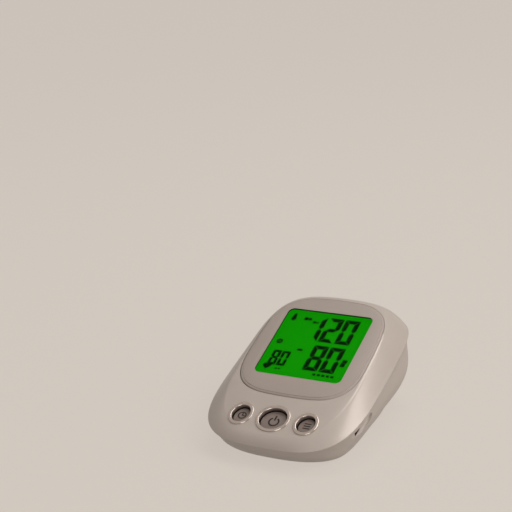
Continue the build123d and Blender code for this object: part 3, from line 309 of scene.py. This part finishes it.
def join_flats(outlines, place_points, low, high):
    """Flat prisms: each outline, anticlockwise, is raised from low to high and closed."""
    points, faces, first = [], [], 0
    for outline in outlines:
        count = len(outline)
        points.append(place_points(outline[:, 0], outline[:, 1], low))
        points.append(place_points(outline[:, 0], outline[:, 1], high))
        below = first + np.arange(count)
        above = below + count
        after = np.roll(below, -1)
        faces += [list(below[::-1]), list(above)]
        faces += [list(side) for side in np.stack([below, after, after + count, above], 1)]
        first += 2 * count
    return np.concatenate(points), faces


def flipped(outline, axis, about):
    """An outline mirrored across a line, with its points kept anticlockwise."""
    turned = outline[::-1].copy()
    turned[:, axis] = 2 * about - turned[:, axis]
    return turned


SEGMENTS = {"0": "abcdef", "1": "bc", "2": "abged", "8": "abcdefg"}


def digit(symbol, left, low, width, height, stroke):
    """A seven-segment figure that fills its box: mitred bars with small gaps between them."""
    right, top = left + width, low + height
    middle, waist = left + width / 2, low + height / 2
    half, gap = stroke / 2, stroke * 0.05
    bars = {
        "a": np.array([[left + stroke + gap, top - stroke], [right - stroke - gap, top - stroke],
                       [right - gap, top], [left + gap, top]]),
        "b": np.array([[right - half, waist + gap], [right, waist + half], [right, top - gap],
                       [right - stroke, top - stroke - gap], [right - stroke, waist + half]]),
        "g": np.array([[left + half + gap, waist], [left + stroke + gap, waist - half],
                       [right - stroke - gap, waist - half], [right - half - gap, waist],
                       [right - stroke - gap, waist + half], [left + stroke + gap, waist + half]]),
    }
    bars["c"] = flipped(bars["b"], 1, waist)
    bars["d"] = flipped(bars["a"], 1, waist)
    bars["e"] = flipped(bars["c"], 0, middle)
    bars["f"] = flipped(bars["b"], 0, middle)
    return [bars[name] for name in SEGMENTS[symbol]]


def number(text, right, low, width, height, stroke, pitch):
    """A row of figures, one pitch apart, that ends at its right edge."""
    bars = []
    for index, symbol in enumerate(reversed(text)):
        bars += digit(symbol, right - width - index * pitch, low, width, height, stroke)
    return bars


ink_low, ink_high = 0.00002, 0.00008
large_figure = {"width": 0.0113, "height": 0.0246, "stroke": 0.0036, "pitch": 0.0126}
small_figure = {"width": 0.0064, "height": 0.0144, "stroke": 0.0022, "pitch": 0.0071}
readings = {
    "figures_systolic": number("120", right=0.0234, low=0.0058, **large_figure),
    "figures_diastolic": number("80", right=0.0232, low=-0.0224, **large_figure),
    "figures_pulse": number("80", right=-0.0148, low=-0.0218, **small_figure),
}
for name, bars in readings.items():
    points, faces = join_flats(bars, on_display, ink_low, ink_high)
    add_mesh(name, points, faces, figure_ink, "housing")


def heart(x, s, size):
    """The pulse sign: a heart, x as a cubed sine and s as a sum of four cosines."""
    unit = size / 32
    angle = np.linspace(0, 2 * np.pi, 40, endpoint=False)[::-1]
    across = 16 * np.sin(angle) ** 3
    along = 13 * np.cos(angle) - 5 * np.cos(2 * angle) - 2 * np.cos(3 * angle) - np.cos(4 * angle)
    return np.stack([x + across * unit, s + along * unit], 1)


def disc(x, s, width, length):
    """An oval: x follows the cosine and s the sine of one turn."""
    angle = np.linspace(0, 2 * np.pi, 24, endpoint=False)
    return np.stack([x + width / 2 * np.cos(angle), s + length / 2 * np.sin(angle)], 1)


def block(x, s, width, length):
    """A rectangle about a centre."""
    return np.array([[x - width / 2, s - length / 2], [x + width / 2, s - length / 2],
                     [x + width / 2, s + length / 2], [x - width / 2, s + length / 2]])


def bell(x, s, size):
    """The sound sign, in shares of its size: half an oval above, straight flared sides below."""
    crown_half, crown_low, crown_rise = 0.20, 0.10, 0.40
    waist_half, waist_drop, hem_half, hem_drop = 0.25, 0.25, 0.36, 0.40
    turn = np.linspace(0, np.pi, 16)
    crown = np.stack([crown_half * np.cos(turn), crown_low + crown_rise * np.sin(turn)], 1)
    skirt = np.array([[-waist_half, -waist_drop], [-hem_half, -hem_drop],
                      [hem_half, -hem_drop], [waist_half, -waist_drop]])
    return np.array([x, s]) + size * np.concatenate([crown, skirt])


def arc_band(x, s, radius, width, first, last, count=28):
    """A curved band: short blocks side by side between two circles about one centre,
    from a first to a last angle in degrees."""
    angle = np.radians(np.linspace(first, last, count))
    circle = np.stack([np.cos(angle), np.sin(angle)], 1)
    outer = np.array([x, s]) + (radius + width / 2) * circle
    inner = np.array([x, s]) + (radius - width / 2) * circle
    return list(np.stack([inner[:-1], outer[:-1], outer[1:], inner[1:]], 1))


sound_signs = [
    bell(x=-0.0277, s=0.0272, size=0.0070),
    disc(x=-0.0277, s=0.0240, width=0.0022, length=0.0016),
]
user_signs = [
    disc(x=-0.0180, s=0.0266, width=0.0034, length=0.0034),
    block(x=-0.0149, s=0.0266, width=0.0024, length=0.0026),
    block(x=-0.0106, s=0.0240, width=0.0024, length=0.0022),
    block(x=-0.0080, s=0.0240, width=0.0018, length=0.0016),
]
timer_signs = arc_band(x=-0.0282, s=0.0014, radius=0.0018, width=0.0013, first=0, last=360, count=16)
timer_signs += [block(x=-0.0282, s=0.0014, width=0.0008, length=0.0022)]
pulse_signs = [
    block(x=-0.0098, s=-0.0043, width=0.0042, length=0.0019),
    heart(x=-0.0272, s=-0.0234, size=0.0066),
]
level_signs = [
    block(x=0.0268, s=-0.0096, width=0.0035, length=0.0031),
    block(x=0.0264, s=-0.0131, width=0.0035, length=0.0035),
]
unit_pitch, rate_pitch = 0.0034, 0.0024
unit_places = [0.0100 + unit_pitch * index for index in range(5)]
rate_places = [-0.0196 + rate_pitch * index for index in range(2)]
unit_signs = [block(x, s=-0.0253, width=0.0024, length=0.0019) for x in unit_places]
rate_signs = [block(x, s=-0.0247, width=0.0017, length=0.0014) for x in rate_places]
signs = sound_signs + user_signs + timer_signs + pulse_signs + level_signs + unit_signs + rate_signs
points, faces = join_flats(signs, on_display, ink_low, ink_high)
add_mesh("display_signs", points, faces, figure_ink, "housing")

guide_clear = moulded_plastic("guide_clear", (0.55, 0.75, 0.5), rough=0.15, grain=900, depth=0.00003)
foam = moulded_plastic("foam", (0.03, 0.03, 0.03), rough=0.95, grain=1100, depth=0.0002)
dress(["light_guide"], guide_clear)
dress(["display_gasket"], foam)

# Keys: three oval caps of darker plastic, each in a glossy plated ring that
# stands proud of the deck, with painted shade that darkens the ring down its
# well. Each cap has a printed sign: clock, power, stored results.

ring_crest_depth = 0.0006
cap_depth = 0.0034
key_row = -0.0712
sides = ("left", "centre", "right")

ring_gloss = moulded_plastic("ring_gloss", linear(184, 172, 165), rough=0.09, metallic=0.85, grain=900,
                             depth=0.000004, coat=0.8)
tree = ring_gloss.node_tree
height = distance_along(tree, tree.nodes["Texture Coordinate"].outputs["Object"], off_slope)
# Painted shade: the ring turns near black from its crest down to the caps.
painted_well_shade = remap(tree, height, -ring_crest_depth, -cap_depth)
paint_over(tree, tree.nodes["Principled BSDF"], painted_well_shade, linear(22, 12, 9))
key_plastic = moulded_plastic("key_plastic", linear(120, 106, 99), rough=0.42, metallic=0.08, grain=3600,
                              depth=0.00001)
dress(["button_ring_" + side for side in sides], ring_gloss)
dress(["button_" + side for side in sides], key_plastic)
smooth(["button_ring_" + side for side in sides] + ["button_" + side for side in sides], 40)


def on_caps(x, s, rise):
    """Points over the caps' plane: x to the right, s up the slope, rise off the caps."""
    return on_display(x, s, rise + glass_depth - cap_depth)


sign_ink = moulded_plastic("sign_ink", linear(38, 30, 28), rough=0.5, grain=2000, depth=0.000004,
                           specular=0.2)
sign_low, sign_high = 0.00001, 0.00005
clock_x, power_x, store_x = -0.0242, 0.0002, 0.0243
side_row = key_row + 0.0006
power_sign = arc_band(power_x, key_row - 0.0004, radius=0.0034, width=0.0012, first=120, last=420)
power_sign += [block(power_x, key_row + 0.0028, width=0.0012, length=0.0042)]
clock_sign = arc_band(clock_x, side_row, radius=0.0027, width=0.0009, first=0, last=360)
clock_sign += [block(clock_x, side_row + 0.0010, width=0.0009, length=0.0024)]
clock_sign += [block(clock_x + 0.0008, side_row, width=0.0020, length=0.0009)]
store_pitch = 0.0020
store_rows = [side_row + store_pitch * index for index in (-1, 0, 1)]
store_sign = [block(store_x, row, width=0.0050, length=0.0010) for row in store_rows]
for side, outlines in zip(sides, (clock_sign, power_sign, store_sign)):
    points, faces = join_flats(outlines, on_caps, sign_low, sign_high)
    add_mesh("key_sign_" + side, points, faces, sign_ink, "button_" + side)

# Sockets: the air socket for the cuff in the left side, held by a nickel-plated
# ring nut, and the power inlet in the scooped recess of the right side. Both
# are moulded in black plastic.


def bare_metal(name, colour, rough, stretch=(1, 1, 1), grain=900):
    """Plated or rolled metal: fine drawn marks and uneven gloss."""
    material, tree, shader, place = new_material(name)
    marks = add_noise(tree, place, scale=grain, detail=3, stretch=stretch)
    tone = blend_colours(tree, marks, shade(colour, 0.86), shade(colour, 1.08))
    gloss = spread(tree, marks, rough * 0.8, rough * 1.25)
    shader.inputs["Metallic"].default_value = 1.0
    tree.links.new(tone, shader.inputs["Base Color"])
    tree.links.new(gloss, shader.inputs["Roughness"])
    add_bump(tree, shader, marks, depth=0.00001, strength=0.3)
    return material


socket_plastic = moulded_plastic("socket_plastic", (0.02, 0.019, 0.018), rough=0.38, grain=3000)
nickel = bare_metal("nickel", (0.62, 0.60, 0.55), rough=0.25)
dress(["air_socket", "power_inlet"], socket_plastic)
smooth(["air_socket", "power_inlet"], 35)
dress(["socket_nut"], nickel)

# Board: glass-fibre board with green solder mask, copper tracks under it, black
# chips, sleeved capacitors, the pressure sensor and three push switches. Strips
# of striped rubber join it to the display.


def solder_mask():
    """Green lacquer over copper: parallel tracks that turn by a right angle from patch to patch."""
    material, tree, shader, place = new_material("solder_mask")
    across = distance_along(tree, place, rightward)
    upward = distance_along(tree, place, up_slope)
    layouts = []
    for along, beside in ((across, upward), (upward, across)):
        flat = tree.nodes.new("ShaderNodeCombineXYZ")
        tree.links.new(along, flat.inputs["X"])
        tree.links.new(beside, flat.inputs["Y"])
        tracks = tree.nodes.new("ShaderNodeTexBrick")
        tracks.offset = 0.37
        tracks.offset_frequency = 3
        tracks.inputs["Scale"].default_value = 1.0
        tracks.inputs["Brick Width"].default_value = 0.013
        tracks.inputs["Row Height"].default_value = 0.0010
        tracks.inputs["Mortar Size"].default_value = 0.00014
        tracks.inputs["Mortar Smooth"].default_value = 0.2
        tree.links.new(flat.outputs["Vector"], tracks.inputs["Vector"])
        layouts.append(tracks.outputs["Fac"])
    patches = tree.nodes.new("ShaderNodeTexVoronoi")
    patches.distance = "CHEBYCHEV"
    patches.inputs["Scale"].default_value = 75
    tree.links.new(place, patches.inputs["Vector"])
    turned = calculate(tree, "LESS_THAN", patches.outputs["Color"], 0.5)
    chosen = tree.nodes.new("ShaderNodeMix")
    tree.links.new(turned, chosen.inputs["Factor"])
    tree.links.new(layouts[0], chosen.inputs["A"])
    tree.links.new(layouts[1], chosen.inputs["B"])
    copper = chosen.outputs["Result"]
    tone = blend_colours(tree, copper, (0.012, 0.09, 0.03), (0.03, 0.19, 0.06))
    tree.links.new(tone, shader.inputs["Base Color"])
    shader.inputs["Roughness"].default_value = 0.25
    add_bump(tree, shader, copper, depth=0.00002)
    return material


dress(["main_board"], solder_mask())
chip_black = moulded_plastic("chip_black", (0.012, 0.012, 0.013), rough=0.5, grain=2200)
dress(["processor_chip", "voice_chip", "tact_switches", "pressure_sensor"], chip_black)
sleeve = moulded_plastic("capacitor_sleeve", (0.01, 0.015, 0.06), rough=0.22, grain=500, depth=0.00001)
dress(["capacitors"], sleeve)
dress(["contact_strips"], moulded_plastic("zebra_rubber", (0.12, 0.12, 0.125), rough=0.7, grain=4000))

board_depth = 0.0113
board_thick = 0.0016


def on_board(x, s, drop):
    """Points below the board: x to the right, s up the slope, drop down from its under side."""
    return on_display(x, s, glass_depth - board_depth - board_thick - drop)


def chip_legs(x, s, width, length, count):
    """Legs along two sides of a chip: flat blocks at even steps, clockwise as seen from above."""
    leg_middle, leg_reach, leg_share = 0.0006, 0.0013, 0.42
    step = length / count
    legs = []
    for side in (-1, 1):
        for index in range(count):
            leg_s = s + (index - (count - 1) / 2) * step
            legs.append(block(x + side * (width / 2 + leg_middle), leg_s, leg_reach, step * leg_share)[::-1])
    return legs


leg_low, leg_high = 0.00002, 0.0005
legs = chip_legs(x=0.012, s=-0.024, width=0.012, length=0.011, count=12)
legs += chip_legs(x=0.028, s=-0.040, width=0.010, length=0.0065, count=7)
points, faces = join_flats(legs, on_board, leg_low, leg_high)
add_mesh("chip_legs", points, faces, nickel, "housing")

# Natural plastic pieces inside: display frame, pump head, valve spool and cap,
# and the air block. They are unpainted white mouldings.

white_pieces = [
    "display_frame", "motor_end_cap", "pump_case", "pump_cover", "pump_valve_plate",
    "wobble_plate", "valve_bobbin", "valve_cap", "air_manifold", "pump_crank",
]
dress(white_pieces, moulded_plastic("white_plastic", (0.62, 0.61, 0.58), rough=0.45, grain=2400))

# Battery bay: four AA cells in lacquered sleeves, lying side by side and turned
# end for end, between springs and contacts of nickel-plated steel.

collar_start, collar_end = 0.0330, 0.0332


def cell_sleeve():
    """A lacquered sleeve in two tones, dark and bronze, that meet in a line across the cells."""
    material, tree, shader, place = new_material("cell_sleeve")
    split = tree.nodes.new("ShaderNodeSeparateXYZ")
    tree.links.new(place, split.inputs["Vector"])
    collar = remap(tree, split.outputs["Y"], collar_start, collar_end)
    tone = blend_colours(tree, collar, (0.05, 0.055, 0.06), (0.45, 0.33, 0.10))
    tree.links.new(tone, shader.inputs["Base Color"])
    shader.inputs["Metallic"].default_value = 0.6
    shader.inputs["Roughness"].default_value = 0.25
    add_bump(tree, shader, add_noise(tree, place, scale=300, detail=2), depth=0.00002, strength=0.3)
    return material


dress(["battery_cells"], cell_sleeve())
smooth(["battery_cells"], 40)
dress(["battery_springs", "battery_contacts"], nickel)

# Loudspeaker: a zinc-plated basket with a ferrite magnet and a cone of pressed
# black paper, held against its foam ring by two screws.

zinc = bare_metal("zinc", (0.52, 0.52, 0.53), rough=0.35)
ferrite = moulded_plastic("ferrite", (0.03, 0.03, 0.033), rough=0.55, grain=1600, depth=0.00004)
cone_paper = moulded_plastic("cone_paper", (0.022, 0.021, 0.02), rough=0.85, grain=1200, depth=0.00008)
dress(["speaker_frame"], zinc)
dress(["speaker_magnet"], ferrite)
dress(["speaker_cone"], cone_paper)
dress(["speaker_gasket"], foam)

# Pump motor: a zinc-plated can round two ferrite magnets and an armature of
# stacked iron sheets on a steel shaft.

stacked_iron = bare_metal("stacked_iron", (0.22, 0.22, 0.23), rough=0.5, stretch=(40, 1, 1), grain=60)
dress(["motor_can", "motor_shaft"], zinc)
dress(["motor_magnets"], ferrite)
dress(["motor_armature"], stacked_iron)

# Release valve: a winding of enamelled copper in a zinc-plated yoke pulls a
# core on its seat against a small coil spring. The spring is wound from plated
# wire; its copy here rides on the housing and keeps its shape.

copper_winding = bare_metal("copper_winding", (0.62, 0.24, 0.09), rough=0.3, stretch=(1, 40, 1), grain=90)
dress(["valve_yoke", "valve_core"], zinc)
dress(["valve_coil"], copper_winding)


def merge_points(mesh):
    """Joins points that lie in one place, so that poles and seams are closed."""
    shape = bmesh.new()
    shape.from_mesh(mesh)
    bmesh.ops.remove_doubles(shape, verts=shape.verts, dist=0.000002)
    shape.to_mesh(mesh)
    shape.free()


release_spring = bpy.data.objects.new("release_spring", nodes["valve_spring"].data.copy())
bpy.context.scene.collection.objects.link(release_spring)
merge_points(release_spring.data)
release_spring.data.materials.clear()
release_spring.data.materials.append(nickel)
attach(release_spring, "housing")
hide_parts("valve_spring")
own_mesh(release_spring)

# Rubber pieces and tubes: the pump's diaphragm, valve and sleeves and the feet
# are moulded in black rubber. The air runs through tubes of milky silicone,
# pushed over their nozzles.

rubber = moulded_plastic("rubber", (0.022, 0.022, 0.022), rough=0.75, grain=1800, depth=0.00004)
silicone = moulded_plastic("silicone", (0.60, 0.62, 0.60), rough=0.35, grain=700, depth=0.00001)
dress(["pump_diaphragm", "check_valve", "pump_sleeves", "rubber_feet"], rubber)
dress(["tube_pump", "tube_socket", "tube_valve", "tube_sensor"], silicone)
smooth(["rubber_feet", "tube_valve", "tube_sensor"], 40)

# Screws: zinc-plated steel, rounded heads with a cross recess, rolled threads.
# They stand for the plain solids of the frame, in the same places.


def screw_surface(head_radius, head_height, shank_radius, length, pitch):
    """A screw as one polar grid about Z: its profile runs from the middle of the head,
    over the rim, down the shank to the tip. The cross recess lowers the head where either
    coordinate is small, and the thread is a cosine ridge that climbs one pitch a turn."""
    sides, rings, steps_a_turn = 40, 12, 8
    crown_share, dome_share, rim_share = 0.98, 0.35, 0.45
    arm, reach, recess = head_radius * 0.17, head_radius * 0.62, head_height * 0.55
    thread_depth = shank_radius * 0.16
    around = np.linspace(0, 2 * np.pi, sides, endpoint=False)
    crown = np.linspace(0, 1, rings)
    radius = [crown * head_radius * crown_share, np.array([head_radius, head_radius])]
    height = [-head_height * (1 - dome_share * crown**4), np.array([-head_height * rim_share, 0.0])]
    steps = np.linspace(0.0, 1.0, int(length / pitch * steps_a_turn))
    radius.append(np.concatenate([[shank_radius], np.full(len(steps), shank_radius), [0.0]]))
    height.append(np.concatenate([[0.0], steps * length, [length]]))
    radius, height = np.concatenate(radius), np.concatenate(height)
    r, turn = np.meshgrid(radius, around, indexing="ij")
    z = np.repeat(height[:, None], len(around), 1)
    threaded = (z > pitch) & (z < length - pitch / 2) & (r > 0)
    ridge = 0.5 - 0.5 * np.cos(turn - z * 2 * np.pi / pitch)
    r = np.where(threaded, r - thread_depth * ridge, r)
    x, y = r * np.cos(turn), r * np.sin(turn)
    crossed = ((np.abs(x) < arm) | (np.abs(y) < arm)) & (r < reach) & (z < -head_height * 0.5)
    z = np.where(crossed, z + recess, z)
    return np.stack([x, y, z], -1)


def grid_faces(rows, columns, first):
    """Quads of a grid that closes round its columns, facing away from its axis."""
    row, column = np.meshgrid(np.arange(rows - 1), np.arange(columns), indexing="ij")
    near = first + row * columns + column
    side = first + row * columns + (column + 1) % columns
    return np.stack([near, side, side + columns, near + columns], -1).reshape(-1, 4)


def add_screws(name, cad_name, places, **sizes):
    """Screws at places, each a corner point and a direction from head to tip."""
    surface = screw_surface(**sizes)
    rows, columns = surface.shape[:2]
    points, faces = [], []
    for index, (corner, direction) in enumerate(places):
        other = np.cross(direction, rightward)
        turned = corner + surface @ np.stack([rightward, other, direction])
        points.append(turned.reshape(-1, 3))
        faces.append(grid_faces(rows, columns, index * rows * columns))
    points, faces = np.concatenate(points), np.concatenate(faces)
    piece = add_mesh(name, points, faces, zinc, "housing", smooth_shading=True)
    merge_points(piece.data)
    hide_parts(cad_name)


post_floor = 0.0020
# Each pair of posts: x, y and the height at which the posts of the two halves meet.
case_posts = ((0.036, -0.044, 0.013), (0.027, 0.058, 0.040))
case_places = []
for x, y, joint in case_posts:
    for side in (-1, 1):
        case_places.append(((side * x, y, joint - post_floor), (0.0, 0.0, 1.0)))
add_screws("case_screws_threaded", "case_screws", case_places,
           head_radius=0.0023, head_height=0.0018, shank_radius=0.00128, length=0.0099, pitch=0.0009)

boss_x, boss_rows = 0.043, (-0.040, 0.026)
board_places = []
for s in boss_rows:
    for side in (-1, 1):
        corner = on_board(side * boss_x, s, 0.0)
        board_places.append((corner, off_slope))
add_screws("board_screws_threaded", "board_screws", board_places,
           head_radius=0.0023, head_height=0.0018, shank_radius=0.00128, length=0.0065, pitch=0.0009)

speaker_x, speaker_y, flange_top = 0.0208, -0.029, 0.0055
speaker_places = [((side * speaker_x, speaker_y, flange_top), (0.0, 0.0, -1.0)) for side in (-1, 1)]
add_screws("speaker_screws_threaded", "speaker_screws", speaker_places,
           head_radius=0.0033, head_height=0.0014, shank_radius=0.00089, length=0.0030, pitch=0.0007)

# Studio: a pale paper floor and backdrop, a soft key light from the right, a
# second lamp above and behind, a third low at the right front, and a world that
# is darker on the left.

backdrop_colour = linear(210, 201, 192)
floor_gap = 0.0002
floor_share = 0.75
paper_dark, paper_light = shade(backdrop_colour, 0.54), shade(backdrop_colour, 0.56)
brighter_side = (0.88, 0.2, 0.6)


def seen_directly(tree):
    """One for what the camera, a mirror or clear plastic shows, and none for light."""
    path = tree.nodes.new("ShaderNodeLightPath")
    seen = calculate(tree, "MAXIMUM", path.outputs["Is Camera Ray"], path.outputs["Is Glossy Ray"])
    return calculate(tree, "MAXIMUM", seen, path.outputs["Is Transmission Ray"])


def show_instead(tree, share, lit, plain, output):
    """Shows the plain shader in place of the lit one, by a share from none to one."""
    blend = tree.nodes.new("ShaderNodeMixShader")
    tree.links.new(share, blend.inputs["Fac"])
    tree.links.new(lit, blend.inputs[1])
    tree.links.new(plain, blend.inputs[2])
    tree.links.new(blend.outputs["Shader"], tree.nodes[output].inputs["Surface"])


bpy.ops.mesh.primitive_plane_add(size=8, location=(0, 0, -floor_gap))
floor = bpy.context.object
floor.name = "studio_floor"
floor_paint, tree, shader, place = new_material("studio_floor")
paper = blend_colours(tree, add_noise(tree, place, scale=30, detail=2), paper_dark, paper_light)
tree.links.new(paper, shader.inputs["Base Color"])
shader.inputs["Roughness"].default_value = 0.9
shader.inputs["Specular IOR Level"].default_value = 0.0
even = tree.nodes.new("ShaderNodeEmission")
even.inputs["Color"].default_value = (*shade(backdrop_colour, 1.15), 1)
share = calculate(tree, "MULTIPLY", seen_directly(tree), floor_share)
show_instead(tree, share, shader.outputs["BSDF"], even.outputs["Emission"], "Material Output")
floor.data.materials.append(floor_paint)

world = bpy.data.worlds.new("studio")
world.use_nodes = True
bpy.context.scene.world = world
tree = world.node_tree
lean = dot_with(tree, tree.nodes.new("ShaderNodeTexCoord").outputs["Generated"], brighter_side)
room = tree.nodes["Background"]
room.inputs["Color"].default_value = (*linear(236, 233, 229), 1)
level = remap(tree, lean, from_low=-0.3, from_high=1.0, to_low=0.04, to_high=0.98)
tree.links.new(level, room.inputs["Strength"])
wall = tree.nodes.new("ShaderNodeBackground")
wall.inputs["Color"].default_value = (*backdrop_colour, 1)
share = seen_directly(tree)
show_instead(tree, share, room.outputs["Background"], wall.outputs["Background"], "World Output")

subject = Vector((0.0, 0.0, 0.03))


def soft_light(name, place, size, power):
    """A square area lamp that faces the monitor."""
    lamp = bpy.data.lights.new(name, "AREA")
    lamp.shape = "SQUARE"
    lamp.size = size
    lamp.energy = power
    lamp.color = (1.0, 0.99, 0.975)
    holder = bpy.data.objects.new(name, lamp)
    holder.location = place
    holder.rotation_euler = (subject - Vector(place)).to_track_quat("-Z", "Y").to_euler()
    bpy.context.scene.collection.objects.link(holder)


soft_light("key_light", (0.86, 0.11, 0.86), size=0.68, power=4.9)
soft_light("top_light", (0.00, 0.50, 1.15), size=0.6, power=4.6)
soft_light("front_light", (0.66, -1.04, 0.27), size=0.7, power=6.2)

# Camera: the photo's view, from the right front and above, slightly rolled, as
# worked out from the edges of the display and the housing.

view_place = Vector((0.392366, -0.754742, 0.403424))
view_target = Vector((-0.040336, 0.010726, 0.115316))
view_roll = np.radians(-3.82)
camera = bpy.data.cameras.new("photo_view")
camera.lens = 93.66
camera.sensor_width = 36.0
camera.clip_start = 0.01
camera.clip_end = 50.0
holder = bpy.data.objects.new("photo_view", camera)
facing = (view_target - view_place).to_track_quat("-Z", "Y").to_matrix().to_4x4()
holder.matrix_world = Matrix.Translation(view_place) @ facing @ Matrix.Rotation(view_roll, 4, "Z")
bpy.context.scene.collection.objects.link(holder)
bpy.context.scene.camera = holder

bpy.context.scene.view_settings.view_transform = "Standard"
